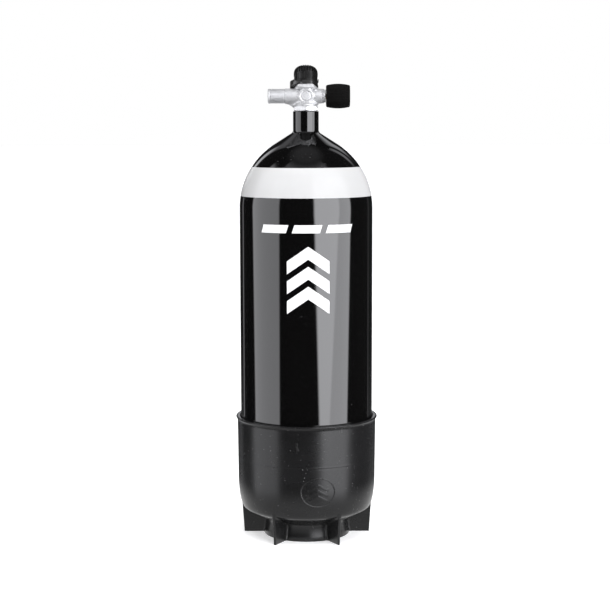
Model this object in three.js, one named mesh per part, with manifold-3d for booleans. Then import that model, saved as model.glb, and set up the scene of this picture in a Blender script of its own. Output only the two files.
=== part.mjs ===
// Scuba tank: a 15 litre steel cylinder in a moulded boot, with a cross-tube valve.
// Millimetres, +Z up. The origin is the centre of the boot's foot, on the floor.
// The front is -Y, and the valve's hand knob points along +X.
// Threads are plain cylinders with running clearance.

import * as THREE from "three";
import { mergeVertices } from "three/addons/utils/BufferGeometryUtils.js";
import Module from "manifold-3d";

// ---------------------------------------------------------------- driving dimensions

const GAP = 0.35; // clearance between pieces that touch on the real object
const DEG = Math.PI / 180;

// Cylinder
const TANK_R = 101.5;
const WALL = 4.7;
const TANK_BOTTOM = 21.2;
const CROWN_R = 150;
const KNUCKLE_R = 40;
const KNUCKLE_TOP = 80; // where the straight side starts
const SHOULDER_Z = 506; // where the straight side ends
const SHOULDER_R = 116;
const SHOULDER_SWEEP = 57.6 * DEG;
const NECK_R = 19.5;
const NECK_TOP = 653.3;
const NECK_FILLET = 6;
const NECK_BORE_R = 12.9;
const NECK_CHAMFER = 4.5; // seat of the neck O-ring

// Boot
const BOOT_TOP = 186;
const BOOT_WALL = 5;
const BOOT_CLEAR = 0.5;
const BEAD_R = 109.2;
const FOOT_R = 67;
const FOOT_INNER_R = 62.7;
const DRAIN_R = 12;
const FIN_COUNT = 6;
const FIN_THICK = 3.8;

// Valve, whose cross tube lies along X
const VALVE_Z = 676;
const BASE_AF = 36;
const BASE_HEIGHT = 7.2;
const BASE_BOTTOM = NECK_TOP + GAP - VALVE_Z;
const STEM_R = 12.5;
const STEM_LENGTH = 32;
const LEFT_END = -57.7;
const STUB_START = -34;
const LEFT_R = 11.6;
const STUB_R = 11.2;
const PORT_R = 8;
const PORT_FLOOR = -44;
const GALLERY_R = 2.4;
const RIGHT_R = 11.2;
const RIGHT_END = 24.4;
const INLET_R = 4;
const DIP_THREAD_R = 5.2;

// Seat, spindle and gland, along X
const CHAMBER_R = 6.2;
const CHAMBER_START = -2;
const CHAMBER_END = 11;
const GLAND_BORE_R = 8.6;
const SPINDLE_R = 4;
const SEAT_THICKNESS = 2.1;
const GLAND_FACE = 14.9;
const GLAND_END = 30;

// Knob
const KNOB_START = 30.7;
const KNOB_END = 67;
const KNOB_R = 18.4;
const KNOB_BULGE = 1.3; // how much the barrel narrows towards both ends
const KNOB_CORE_R = 13.8;

// Outlet, tilted back from the vertical
const OUTLET_TILT = 30 * DEG;
const BOSS_R = 15.6;
const BOSS_END = 28;
const SOCKET_R = 11.45;
const SOCKET_FLOOR = 12;
const FLANGE_AF = 39;
const FLANGE_BOTTOM = 5.7;
const PAD_AF = 20.8;
const PAD_LENGTH = 13;

// Protective cap
const CAP_BOTTOM = 19.2;
const CAP_SKIRT_R = 17.9;
const CAP_RIM_R = 18.3;
const CAP_RIM_START = 34;
const CAP_TOP = 44.8;
const CAP_TEETH = 28;
const TOOTH_DEPTH = 0.9;
const COLLAR_START = 25.4;
const COLLAR_HEIGHT = 3.2;
const LUG_R = 23.2;
const LUG_START = 182 * DEG;
const LUG_END = 226 * DEG;

// Facets round a full turn
const TANK_SEGMENTS = 36;
const VALVE_SEGMENTS = 24;
const SMALL_SEGMENTS = 16;

const MERGE_MM = 1e-4;

// ---------------------------------------------------------------- materials

const glossPaint = new THREE.MeshStandardMaterial({ color: 0x0a0a0b, roughness: 0.12, metalness: 0 });
const bootPlastic = new THREE.MeshStandardMaterial({ color: 0x2c2c2e, roughness: 0.5, metalness: 0 });
const satinChrome = new THREE.MeshStandardMaterial({ color: 0xc9cbce, roughness: 0.3, metalness: 1 });
const bareBrass = new THREE.MeshStandardMaterial({ color: 0xb4934c, roughness: 0.35, metalness: 1 });
const springSteel = new THREE.MeshStandardMaterial({ color: 0xb5b8bb, roughness: 0.3, metalness: 1 });
const sealRubber = new THREE.MeshStandardMaterial({ color: 0x141414, roughness: 0.6, metalness: 0 });
const gripRubber = new THREE.MeshStandardMaterial({ color: 0x191918, roughness: 0.65, metalness: 0 });
const capPlastic = new THREE.MeshStandardMaterial({ color: 0x222222, roughness: 0.45, metalness: 0 });
const corePlastic = new THREE.MeshStandardMaterial({ color: 0x1f1f20, roughness: 0.4, metalness: 0 });
const seatNylon = new THREE.MeshStandardMaterial({ color: 0xe9e6dc, roughness: 0.5, metalness: 0 });

// ---------------------------------------------------------------- solids and outlines

const wasm = await Module();
wasm.setup();

// A closed geometry as a solid that can be cut and joined.
function toSolid(geometry) {
  const bare = geometry.clone();
  bare.deleteAttribute("normal");
  bare.deleteAttribute("uv");
  const merged = mergeVertices(bare, MERGE_MM);
  const corners = merged.index.array;
  const kept = [];
  for (let i = 0; i < corners.length; i += 3) {
    const [a, b, c] = [corners[i], corners[i + 1], corners[i + 2]];
    if (a !== b && b !== c && a !== c) kept.push(a, b, c);
  }
  return new wasm.Manifold(
    new wasm.Mesh({
      numProp: 3,
      vertProperties: merged.attributes.position.array,
      triVerts: new Uint32Array(kept),
    }),
  );
}

// A solid back as a geometry, with flat facets.
function toGeometry(solid) {
  const mesh = solid.getMesh();
  const positions = new Float32Array((mesh.vertProperties.length / mesh.numProp) * 3);
  for (let i = 0; i < positions.length / 3; i += 1) {
    for (let k = 0; k < 3; k += 1) positions[3 * i + k] = mesh.vertProperties[mesh.numProp * i + k];
  }
  const geometry = new THREE.BufferGeometry();
  geometry.setAttribute("position", new THREE.BufferAttribute(positions, 3));
  geometry.setIndex(new THREE.BufferAttribute(new Uint32Array(mesh.triVerts), 1));
  geometry.computeVertexNormals();
  return geometry;
}

function joined(...geometries) {
  return toGeometry(geometries.map(toSolid).reduce((whole, piece) => whole.add(piece)));
}

function cut(geometry, ...tools) {
  return toGeometry(tools.map(toSolid).reduce((whole, tool) => whole.subtract(tool), toSolid(geometry)));
}

function common(a, b) {
  return toGeometry(toSolid(a).intersect(toSolid(b)));
}

// Twice the signed area of an outline: positive when it runs anticlockwise.
function signedArea(points) {
  let sum = 0;
  points.forEach(([r, z], i) => {
    const [nextR, nextZ] = points[(i + 1) % points.length];
    sum += r * nextZ - nextR * z;
  });
  return sum;
}

// An outline of [radius, height] points, turned about the Z axis.
// It starts and ends on the axis, or else it is closed into a ring.
function turned(outline, segments = VALVE_SEGMENTS) {
  const points = signedArea(outline) < 0 ? [...outline].reverse() : [...outline];
  const onAxis = points.filter(([r]) => r === 0).length === 2;
  if (onAxis) {
    while (!(points[0][0] === 0 && points[points.length - 1][0] === 0)) points.push(points.shift());
  } else {
    points.push(points[0]);
  }
  const profile = points.map(([r, z]) => new THREE.Vector2(r, z));
  return new THREE.LatheGeometry(profile, segments).rotateX(Math.PI / 2);
}

// Points of an arc in the [radius, height] plane, angles measured from +radius towards +height.
function arc(centreR, centreZ, radius, from, to, steps) {
  const points = [];
  for (let i = 0; i <= steps; i += 1) {
    const angle = from + ((to - from) * i) / steps;
    points.push([centreR + radius * Math.cos(angle), centreZ + radius * Math.sin(angle)]);
  }
  return points;
}

function rod(radius, from, to, segments = VALVE_SEGMENTS) {
  return turned([[0, from], [radius, from], [radius, to], [0, to]], segments);
}

function tube(inner, outer, from, to, segments = VALVE_SEGMENTS) {
  return turned([[inner, from], [outer, from], [outer, to], [inner, to]], segments);
}

// A hexagonal bar along Z with a corner on -Y.
function hexBar(acrossFlats, from, to) {
  const radius = acrossFlats / Math.sqrt(3);
  const bar = new THREE.CylinderGeometry(radius, radius, to - from, 6);
  return bar.rotateX(Math.PI / 2).translate(0, 0, (from + to) / 2);
}

function oRing(meanR, sectionR, z) {
  return turned(arc(meanR, z, sectionR, 0, 2 * Math.PI, 8).slice(0, -1), SMALL_SEGMENTS);
}

// Turns a piece made along +Z so that it lies along +X.
const alongX = (geometry) => geometry.rotateY(Math.PI / 2);

// ---------------------------------------------------------------- cylinder and boot

const CROWN_CENTRE = TANK_BOTTOM + CROWN_R;
const KNUCKLE_CENTRE_R = TANK_R - KNUCKLE_R;
const KNUCKLE_ANGLE = Math.atan2(KNUCKLE_CENTRE_R, CROWN_CENTRE - KNUCKLE_TOP);

// The round bottom, from the axis or a hole up to the straight side, offset from the steel's outside.
function bottomCurve(offset, holeR, crownSteps, knuckleSteps) {
  const crownR = CROWN_R + offset;
  const start = -Math.PI / 2 + Math.asin(holeR / crownR);
  const change = -Math.PI / 2 + KNUCKLE_ANGLE;
  return [
    ...arc(0, CROWN_CENTRE, crownR, start, change, crownSteps),
    ...arc(KNUCKLE_CENTRE_R, KNUCKLE_TOP, KNUCKLE_R + offset, change, 0, knuckleSteps).slice(1),
  ];
}

function tankCylinder() {
  const centreR = TANK_R - SHOULDER_R;
  const slope = Math.PI / 2 - SHOULDER_SWEEP;
  const outerEnd = arc(centreR, SHOULDER_Z, SHOULDER_R, SHOULDER_SWEEP, SHOULDER_SWEEP, 1)[0];
  const filletR = NECK_R + NECK_FILLET;
  const filletFootR = filletR - NECK_FILLET * Math.sin(slope);
  const filletFootZ = outerEnd[1] + (outerEnd[0] - filletFootR) * Math.tan(slope);
  const filletZ = filletFootZ + NECK_FILLET * Math.cos(slope);
  const outside = [
    ...bottomCurve(0, 0, 4, 5),
    ...arc(centreR, SHOULDER_Z, SHOULDER_R, 0, SHOULDER_SWEEP, 7),
    ...arc(filletR, filletZ, NECK_FILLET, Math.PI * 1.5 - slope, Math.PI, 3),
    [NECK_R, NECK_TOP - 0.8],
    [NECK_R - 0.8, NECK_TOP],
    [NECK_BORE_R + NECK_CHAMFER, NECK_TOP],
    [NECK_BORE_R, NECK_TOP - NECK_CHAMFER],
  ];
  const innerEnd = arc(centreR, SHOULDER_Z, SHOULDER_R - WALL, SHOULDER_SWEEP, SHOULDER_SWEEP, 1)[0];
  const throatR = NECK_BORE_R + 2;
  const throatZ = innerEnd[1] + (innerEnd[0] - throatR) * Math.tan(slope);
  const inside = [
    [NECK_BORE_R, throatZ + 3],
    [throatR, throatZ],
    ...arc(centreR, SHOULDER_Z, SHOULDER_R - WALL, SHOULDER_SWEEP, 0, 5),
    ...bottomCurve(-WALL, 0, 2, 3).reverse(),
  ];
  inside[inside.length - 1][0] = 0;
  outside[0][0] = 0;
  return turned([...outside, ...inside], TANK_SEGMENTS);
}

// The outside of the boot, from the rim's bead down to the foot ring.
function bootOutside() {
  const side = new THREE.Path();
  side.moveTo(TANK_R + BOOT_WALL + 0.5, BOOT_TOP - 3.4);
  side.lineTo(TANK_R + BOOT_WALL - 0.5, 88);
  side.bezierCurveTo(TANK_R + BOOT_WALL - 0.6, 70, 103.5, 55, 100.5, 48);
  side.quadraticCurveTo(98.3, 42.8, 93.5, 40.2);
  side.lineTo(71, 29);
  side.quadraticCurveTo(64, 25.5, 63.6, 21);
  side.lineTo(FOOT_R, 0);
  return side.getPoints(3).map((point) => [point.x, point.y]);
}

// One upright fin under the boot, in the plane through the axis.
function fin(turn) {
  const shape = new THREE.Shape();
  shape.moveTo(FOOT_INNER_R + 1.5, 0);
  shape.lineTo(97.5, 0);
  shape.lineTo(100.8, 44);
  shape.lineTo(97, 47.5);
  shape.lineTo(FOOT_INNER_R + 1.5, 28);
  const plate = new THREE.ExtrudeGeometry(shape, { depth: FIN_THICK, bevelEnabled: false });
  return plate.translate(0, 0, -FIN_THICK / 2).rotateX(Math.PI / 2).rotateZ(turn);
}

function tankBoot() {
  const inside = bottomCurve(BOOT_CLEAR, DRAIN_R, 5, 5);
  const underside = bottomCurve(BOOT_CLEAR + BOOT_WALL, DRAIN_R, 3, 5)
    .filter(([r]) => r < FOOT_INNER_R - 4)
    .reverse();
  const shell = turned(
    [
      ...inside,
      [TANK_R + BOOT_CLEAR + 0.3, BOOT_TOP - 2],
      [TANK_R + BOOT_CLEAR + 1.6, BOOT_TOP],
      [BEAD_R - 1, BOOT_TOP],
      [BEAD_R, BOOT_TOP - 1.2],
      [BEAD_R - 0.6, BOOT_TOP - 2.8],
      ...bootOutside(),
      [FOOT_INNER_R, 0],
      [FOOT_INNER_R - 3, 25],
      ...underside,
    ],
    TANK_SEGMENTS,
  );
  const fins = Array.from({ length: FIN_COUNT }, (_, i) => fin((i * 2 * Math.PI) / FIN_COUNT));
  return joined(shell, ...fins);
}

// ---------------------------------------------------------------- valve body

// The vertical part: stem, hexagonal base and the waist that carries the cross tube.
function valveColumn() {
  const stem = turned([
    [0, BASE_BOTTOM - STEM_LENGTH],
    [STEM_R - 1, BASE_BOTTOM - STEM_LENGTH],
    [STEM_R, BASE_BOTTOM - STEM_LENGTH + 1.5],
    [STEM_R, BASE_BOTTOM + 1],
    [0, BASE_BOTTOM + 1],
  ]);
  const chamfer = turned([
    [0, BASE_BOTTOM],
    [BASE_AF / 2 + 1.4, BASE_BOTTOM],
    [BASE_AF / 2 + 3, BASE_BOTTOM + 1.2],
    [BASE_AF / 2 + 3, BASE_BOTTOM + 5],
    [BASE_AF / 2 - 0.6, BASE_BOTTOM + BASE_HEIGHT],
    [0, BASE_BOTTOM + BASE_HEIGHT],
  ]);
  const base = common(hexBar(BASE_AF, BASE_BOTTOM, BASE_BOTTOM + BASE_HEIGHT), chamfer);
  const waist = turned([
    [0, BASE_BOTTOM + 7],
    [16.4, BASE_BOTTOM + 7],
    [16.4, BASE_BOTTOM + 8],
    [17.8, BASE_BOTTOM + 8.4],
    [17.4, BASE_BOTTOM + 10.4],
    [14.6, BASE_BOTTOM + 14],
    [12.4, BASE_BOTTOM + 17],
    [11.6, 0],
    [0, 0],
  ]);
  return joined(stem, base, waist);
}

// The cross tube, with the threaded stub on the left and the gland's arm on the right.
function crossTube() {
  return alongX(
    turned([
      [0, LEFT_END],
      [STUB_R - 1.8, LEFT_END],
      [STUB_R - 0.5, LEFT_END + 0.6],
      [STUB_R, LEFT_END + 2],
      [STUB_R, STUB_START],
      [LEFT_R - 1, STUB_START],
      [LEFT_R - 1, STUB_START + 2],
      [LEFT_R, STUB_START + 2.6],
      [LEFT_R, 6],
      [RIGHT_R, 12],
      [RIGHT_R, RIGHT_END],
      [0, RIGHT_END],
    ]),
  );
}

// The outlet along its own axis: tapered root, hexagonal flange and round boss.
function outletBoss() {
  const root = turned([[0, -3], [9, -3], [15, FLANGE_BOTTOM + 0.2], [0, FLANGE_BOTTOM + 0.2]]);
  const chamfer = turned([
    [0, FLANGE_BOTTOM],
    [FLANGE_AF / 2 - 0.2, FLANGE_BOTTOM],
    [FLANGE_AF / 2 + 3.2, FLANGE_BOTTOM + 2],
    [FLANGE_AF / 2 + 3.2, SOCKET_FLOOR - 0.6],
    [FLANGE_AF / 2 + 1.8, SOCKET_FLOOR + 0.2],
    [0, SOCKET_FLOOR + 0.2],
  ]);
  const flange = common(hexBar(FLANGE_AF, FLANGE_BOTTOM, SOCKET_FLOOR + 0.2).rotateZ(30 * DEG), chamfer);
  const boss = turned([
    [0, SOCKET_FLOOR],
    [BOSS_R, SOCKET_FLOOR],
    [BOSS_R, BOSS_END - 1],
    [BOSS_R - 1, BOSS_END],
    [0, BOSS_END],
  ]);
  return joined(root, flange, boss).rotateX(-OUTLET_TILT);
}

// The blank hexagonal pad on the front of the cross tube.
function frontPad() {
  const chamfer = turned(
    [
      [0, 0],
      [PAD_AF / 2 + 2.6, 0],
      [PAD_AF / 2 + 2.6, PAD_LENGTH - 1.4],
      [PAD_AF / 2, PAD_LENGTH],
      [0, PAD_LENGTH],
    ],
    SMALL_SEGMENTS,
  );
  return common(hexBar(PAD_AF, 0, PAD_LENGTH).rotateZ(30 * DEG), chamfer).rotateX(Math.PI / 2);
}

// The cast web between the left arm and the base.
function castWeb() {
  const shape = new THREE.Shape();
  shape.moveTo(-31, -9);
  shape.quadraticCurveTo(-26, -18, -15, -19);
  shape.lineTo(-8, -9);
  const thickness = 9;
  const web = new THREE.ExtrudeGeometry(shape, { depth: thickness, bevelEnabled: false, curveSegments: 5 });
  return web.translate(0, 0, -thickness / 2).rotateX(Math.PI / 2);
}

function valveBody() {
  const casting = joined(crossTube(), valveColumn(), outletBoss(), frontPad(), castWeb());
  const inletTop = -14;
  const stemBottom = BASE_BOTTOM - STEM_LENGTH;
  const inlet = rod(INLET_R, stemBottom - 1, inletTop, SMALL_SEGMENTS);
  const dipThread = rod(DIP_THREAD_R, stemBottom - 1, stemBottom + 10, SMALL_SEGMENTS);
  const turnX = -11;
  const slantLength = Math.hypot(turnX, inletTop - 1);
  const slantAngle = Math.atan2(turnX, 1 - inletTop);
  const slant = rod(2, 0, slantLength, SMALL_SEGMENTS).rotateY(slantAngle).translate(0, 0, inletTop - 1);
  const plugSocket = alongX(rod(PORT_R, LEFT_END - 1, PORT_FLOOR, SMALL_SEGMENTS));
  const gallery = alongX(rod(GALLERY_R, PORT_FLOOR - 1, CHAMBER_START + 0.5, SMALL_SEGMENTS));
  const chamber = alongX(rod(CHAMBER_R, CHAMBER_START, CHAMBER_END + 0.5, SMALL_SEGMENTS));
  const glandBore = alongX(rod(GLAND_BORE_R, CHAMBER_END, RIGHT_END + 1, SMALL_SEGMENTS));
  const outletDrill = rod(1.8, 0, SOCKET_FLOOR + 1, SMALL_SEGMENTS).rotateX(-OUTLET_TILT);
  const socket = rod(SOCKET_R, SOCKET_FLOOR, BOSS_END + 1).rotateX(-OUTLET_TILT);
  return cut(
    casting, inlet, dipThread, slant, plugSocket, gallery, chamber, glandBore, outletDrill, socket,
  );
}

// ---------------------------------------------------------------- pieces in the valve's stem and left arm

function dipTube() {
  const top = BASE_BOTTOM - STEM_LENGTH + 9;
  return turned(
    [
      [3, top],
      [DIP_THREAD_R - GAP, top],
      [DIP_THREAD_R - GAP, top - 12],
      [4.2, top - 12.6],
      [4.2, top - 68],
      [3, top - 70],
    ],
    SMALL_SEGMENTS,
  );
}

const PLUG_R = PORT_R - GAP;
const PLUG_GROOVE = -47.7;

// The blanking plug, along +Z from its inner end, with a hexagonal key socket in its outer end.
function portPlug() {
  const inner = PORT_FLOOR - 0.4;
  const outer = LEFT_END + 1.4;
  const blank = turned(
    [
      [0, inner],
      [PLUG_R - 0.6, inner],
      [PLUG_R, inner - 0.6],
      [PLUG_R, PLUG_GROOVE + 1.4],
      [5.3, PLUG_GROOVE + 1.4],
      [5.3, PLUG_GROOVE - 1.4],
      [PLUG_R, PLUG_GROOVE - 1.4],
      [PLUG_R, outer + 0.5],
      [PLUG_R - 0.5, outer],
      [0, outer],
    ],
    SMALL_SEGMENTS,
  );
  return alongX(cut(blank, hexBar(5, outer - 1, outer + 4)));
}

// ---------------------------------------------------------------- gland, spindle and seat, along X

function glandNut() {
  const shankR = GLAND_BORE_R - GAP;
  const bore = SPINDLE_R + GAP;
  const blank = turned([
    [bore, GLAND_FACE],
    [shankR - 0.6, GLAND_FACE],
    [shankR, GLAND_FACE + 0.6],
    [shankR, RIGHT_END - 3.4],
    [7.1, RIGHT_END - 3.4],
    [7.1, RIGHT_END + GAP],
    [RIGHT_R - 0.9, RIGHT_END + GAP],
    [RIGHT_R - 0.3, RIGHT_END + GAP + 0.6],
    [RIGHT_R - 0.3, GLAND_END - 0.6],
    [RIGHT_R - 0.9, GLAND_END],
    [bore, GLAND_END],
  ]);
  const flat = new THREE.BoxGeometry(4, 30, 3).translate(9.6 + 2, 0, GLAND_END - 1);
  return alongX(cut(blank, flat, flat.clone().rotateZ(Math.PI)));
}

const SPINDLE_SEALS = [17.8, 21.6];
const SPINDLE_SEAL_R = 0.62;
const SPINDLE_GROOVE_R = 2.4;
const SQUARE_START = 31.2;
const SQUARE_END = 51;
const SQUARE_AF = 5.6;
const THREAD_R = 2.3;
const THREAD_END = 63;

function spindle() {
  const halfGroove = SPINDLE_SEAL_R + GAP + 0.01;
  const grooves = SPINDLE_SEALS.flatMap((z) => [
    [SPINDLE_R, z - halfGroove],
    [SPINDLE_GROOVE_R, z - halfGroove],
    [SPINDLE_GROOVE_R, z + halfGroove],
    [SPINDLE_R, z + halfGroove],
  ]);
  const shaft = turned(
    [
      [0, 12],
      [5.5, 12],
      [5.9, 12.4],
      [5.9, 13.4],
      [SPINDLE_R, 13.4],
      ...grooves,
      [SPINDLE_R, SQUARE_START],
      [0, SQUARE_START],
    ],
    SMALL_SEGMENTS,
  );
  const tongue = new THREE.BoxGeometry(9.4, 2, 6.5).translate(0, 0, 6 + 6.5 / 2);
  const squareLength = SQUARE_END - SQUARE_START + 1;
  const square = new THREE.BoxGeometry(SQUARE_AF, SQUARE_AF, squareLength);
  square.translate(0, 0, SQUARE_END - squareLength / 2);
  const thread = turned(
    [
      [0, SQUARE_END - 1],
      [THREAD_R, SQUARE_END - 1],
      [THREAD_R, THREAD_END - 0.6],
      [THREAD_R - 0.6, THREAD_END],
      [0, THREAD_END],
    ],
    SMALL_SEGMENTS,
  );
  return alongX(joined(shaft, tongue, square, thread));
}

// The threaded carrier that the spindle's tongue turns and that screws towards the seat.
function seatCarrier() {
  const carrierR = CHAMBER_R - GAP;
  const start = CHAMBER_START + 0.8;
  const end = 8;
  const blank = turned(
    [
      [0, start + SEAT_THICKNESS],
      [3.9, start + SEAT_THICKNESS],
      [3.9, start],
      [carrierR - 0.6, start],
      [carrierR, start + 0.6],
      [carrierR, end],
      [0, end],
    ],
    SMALL_SEGMENTS,
  );
  const slot = new THREE.BoxGeometry(14, 2.8, 6).translate(0, 0, 3 + 3);
  return alongX(cut(blank, slot));
}

function seatInsert() {
  const start = CHAMBER_START + GAP;
  const insert = turned(
    [
      [0, start],
      [3, start],
      [3.5, start + 0.5],
      [3.5, start + SEAT_THICKNESS],
      [0, start + SEAT_THICKNESS],
    ],
    SMALL_SEGMENTS,
  );
  return alongX(insert);
}

// ---------------------------------------------------------------- knob, along X

const RECESS_R = 7;
const RECESS_FLOOR = 52;
const SPRING_START = RECESS_FLOOR + GAP;
const SPRING_LENGTH = 5;
const WASHER_START = SPRING_START + SPRING_LENGTH + GAP;
const NUT_START = WASHER_START + 0.8 + GAP;

function knobCore() {
  const blank = turned([
    [0, KNOB_START + 0.6],
    [KNOB_CORE_R, KNOB_START + 0.6],
    [KNOB_CORE_R, KNOB_END - 1.4],
    [KNOB_CORE_R - 1, KNOB_END - 0.6],
    [RECESS_R, KNOB_END - 0.6],
    [RECESS_R, RECESS_FLOOR],
    [0, RECESS_FLOOR],
  ]);
  const socketSide = SQUARE_AF + 2 * GAP;
  const socket = new THREE.BoxGeometry(socketSide, socketSide, 30).translate(0, 0, 40);
  return alongX(cut(blank, socket));
}

// The rubber barrel, open round the core at both ends.
function knobGrip() {
  const middle = (KNOB_START + KNOB_END) / 2;
  const half = (KNOB_END - KNOB_START) / 2;
  const corner = 1.6;
  const side = [-1, -0.6, -0.2, 0.2, 0.6, 1].map((t) => [
    KNOB_R - KNOB_BULGE * t * t,
    middle + t * (half - corner),
  ]);
  return alongX(
    turned([
      [KNOB_CORE_R + GAP, KNOB_START],
      [KNOB_R - KNOB_BULGE - corner, KNOB_START],
      ...side,
      [KNOB_R - KNOB_BULGE - corner, KNOB_END],
      [KNOB_CORE_R + GAP, KNOB_END],
    ]),
  );
}

class Helix extends THREE.Curve {
  constructor(radius, pitch, turns) {
    super();
    Object.assign(this, { radius, pitch, turns });
  }

  getPoint(t) {
    const angle = 2 * Math.PI * this.turns * t;
    const height = this.pitch * this.turns * t;
    return new THREE.Vector3(this.radius * Math.cos(angle), this.radius * Math.sin(angle), height);
  }
}

function knobSpring() {
  const wireR = 0.5;
  const turns = 3;
  const section = new THREE.Shape().absarc(0, 0, wireR, 0, 2 * Math.PI);
  const path = new Helix(4.6, (SPRING_LENGTH - 2 * wireR) / turns, turns);
  const wire = new THREE.ExtrudeGeometry(section, {
    extrudePath: path,
    steps: 16 * turns,
    curveSegments: 3,
  });
  return alongX(wire.translate(0, 0, SPRING_START + wireR));
}

function knobNut() {
  const end = NUT_START + 3.4;
  const hole = rod(THREAD_R + GAP, NUT_START - 1, end + 1, SMALL_SEGMENTS);
  return alongX(cut(hexBar(9, NUT_START, end), hole));
}

// ---------------------------------------------------------------- outlet cap and strap, along the outlet

const CAP_SEAL_Z = 15.4;
const CAP_STUB_R = SOCKET_R - 0.45;

function outletCap() {
  const body = turned(
    [
      [0, 38],
      [8, 38],
      [8, SOCKET_FLOOR + 1],
      [CAP_STUB_R, SOCKET_FLOOR + 1],
      [CAP_STUB_R, CAP_SEAL_Z - 1.25],
      [8.9, CAP_SEAL_Z - 1.25],
      [8.9, CAP_SEAL_Z + 1.25],
      [CAP_STUB_R, CAP_SEAL_Z + 1.25],
      [CAP_STUB_R, 33],
      [BOSS_R + 0.4, 33],
      [BOSS_R + 0.4, CAP_BOTTOM],
      [CAP_SKIRT_R, CAP_BOTTOM],
      [CAP_SKIRT_R, COLLAR_START - GAP],
      [CAP_SKIRT_R - 0.7, COLLAR_START - GAP],
      [CAP_SKIRT_R - 0.7, COLLAR_START + COLLAR_HEIGHT + GAP],
      [CAP_SKIRT_R, COLLAR_START + COLLAR_HEIGHT + GAP],
      [CAP_SKIRT_R, CAP_RIM_START],
      [0, CAP_RIM_START + 5],
    ],
    CAP_TEETH,
  );
  return joined(body, toothedRim());
}

// The cap's round top, whose edge is cut into teeth: every second column is drawn in.
function toothedRim() {
  const rim = turned(
    [
      [0, CAP_RIM_START],
      [CAP_RIM_R, CAP_RIM_START],
      [CAP_RIM_R, CAP_RIM_START + 5],
      [CAP_RIM_R - 1.2, CAP_TOP - 2],
      [CAP_RIM_R - 3, CAP_TOP],
      [0, CAP_TOP - 0.6],
    ],
    2 * CAP_TEETH,
  );
  const position = rim.getAttribute("position");
  for (let i = 0; i < position.count; i += 1) {
    const [x, y] = [position.getX(i), position.getY(i)];
    const column = Math.round((Math.atan2(y, x) / Math.PI) * CAP_TEETH);
    if (column % 2 !== 0) {
      const drawn = 1 - TOOTH_DEPTH / CAP_RIM_R;
      position.setXYZ(i, x * drawn, y * drawn, position.getZ(i));
    }
  }
  return rim;
}

// A flat ring sector, with its angles measured from +X.
function sector(innerR, outerR, from, to, bottom, height) {
  const shape = new THREE.Shape();
  shape.absarc(0, 0, outerR, from, to, false);
  shape.absarc(0, 0, innerR, to, from, true);
  const plate = new THREE.ExtrudeGeometry(shape, { depth: height, bevelEnabled: false, curveSegments: 12 });
  return plate.translate(0, 0, bottom);
}

// The strap's ring round the boss, with the folded lug at the front left.
function capStrap() {
  const bottom = SOCKET_FLOOR + 0.2 + GAP;
  const top = CAP_BOTTOM - GAP;
  const ring = tube(BOSS_R + GAP, 18.9, bottom, top);
  const lug = sector(18.4, LUG_R, LUG_START, LUG_END, bottom + 0.6, COLLAR_START - bottom - 1.2);
  return joined(ring, lug);
}

// The strap's upper end: an open collar that grips the cap's groove from behind.
function strapCollar() {
  return sector(CAP_SKIRT_R - 0.7 + GAP, 19.5, -8 * DEG, 188 * DEG, COLLAR_START, COLLAR_HEIGHT);
}

// ---------------------------------------------------------------- assembly

function piece(name, geometry, material) {
  const mesh = new THREE.Mesh(geometry, material);
  mesh.name = name;
  return mesh;
}

const group = new THREE.Group();
group.add(piece("tank_cylinder", tankCylinder(), glossPaint));
group.add(piece("tank_boot", tankBoot(), bootPlastic));

const valve = new THREE.Group();
valve.position.z = VALVE_Z;
group.add(valve);
valve.add(piece("valve_body", valveBody(), satinChrome));
valve.add(piece("neck_o_ring", oRing(14, 1.2, NECK_TOP - 1.2 - VALVE_Z), sealRubber));
valve.add(piece("dip_tube", dipTube(), bareBrass));
valve.add(piece("port_plug", portPlug(), satinChrome));
valve.add(piece("port_plug_o_ring", alongX(oRing(6.65, 1, PLUG_GROOVE)), sealRubber));

const glandRing = tube(7.45, GLAND_BORE_R - GAP, RIGHT_END - 2.9, RIGHT_END - 0.7, SMALL_SEGMENTS);
valve.add(piece("gland_nut", glandNut(), satinChrome));
valve.add(piece("gland_o_ring", alongX(glandRing), sealRubber));
valve.add(piece("spindle", spindle(), bareBrass));
const [innerSeal, outerSeal] = SPINDLE_SEALS.map((z) => alongX(oRing(3.35, SPINDLE_SEAL_R, z)));
valve.add(piece("spindle_o_ring_inner", innerSeal, sealRubber));
valve.add(piece("spindle_o_ring_outer", outerSeal, sealRubber));
const thrustWasher = tube(SPINDLE_R + GAP, 5.9, 13.4 + GAP, GLAND_FACE - GAP, SMALL_SEGMENTS);
valve.add(piece("thrust_washer", alongX(thrustWasher), seatNylon));
valve.add(piece("seat_carrier", seatCarrier(), bareBrass));
valve.add(piece("seat_insert", seatInsert(), seatNylon));

valve.add(piece("knob_core", knobCore(), corePlastic));
valve.add(piece("knob_grip", knobGrip(), gripRubber));
valve.add(piece("knob_spring", knobSpring(), springSteel));
const knobWasher = tube(THREAD_R + GAP, 6.2, WASHER_START, WASHER_START + 0.8, SMALL_SEGMENTS);
valve.add(piece("knob_washer", alongX(knobWasher), springSteel));
valve.add(piece("knob_nut", knobNut(), springSteel));

const outlet = new THREE.Group();
outlet.rotation.x = -OUTLET_TILT;
valve.add(outlet);
outlet.add(piece("outlet_cap", outletCap(), capPlastic));
outlet.add(piece("outlet_cap_o_ring", oRing(10.1, 0.85, CAP_SEAL_Z), sealRubber));
outlet.add(piece("cap_strap", capStrap(), gripRubber));
outlet.add(piece("strap_collar", strapCollar(), gripRubber));

export default group;
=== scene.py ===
import math

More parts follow.
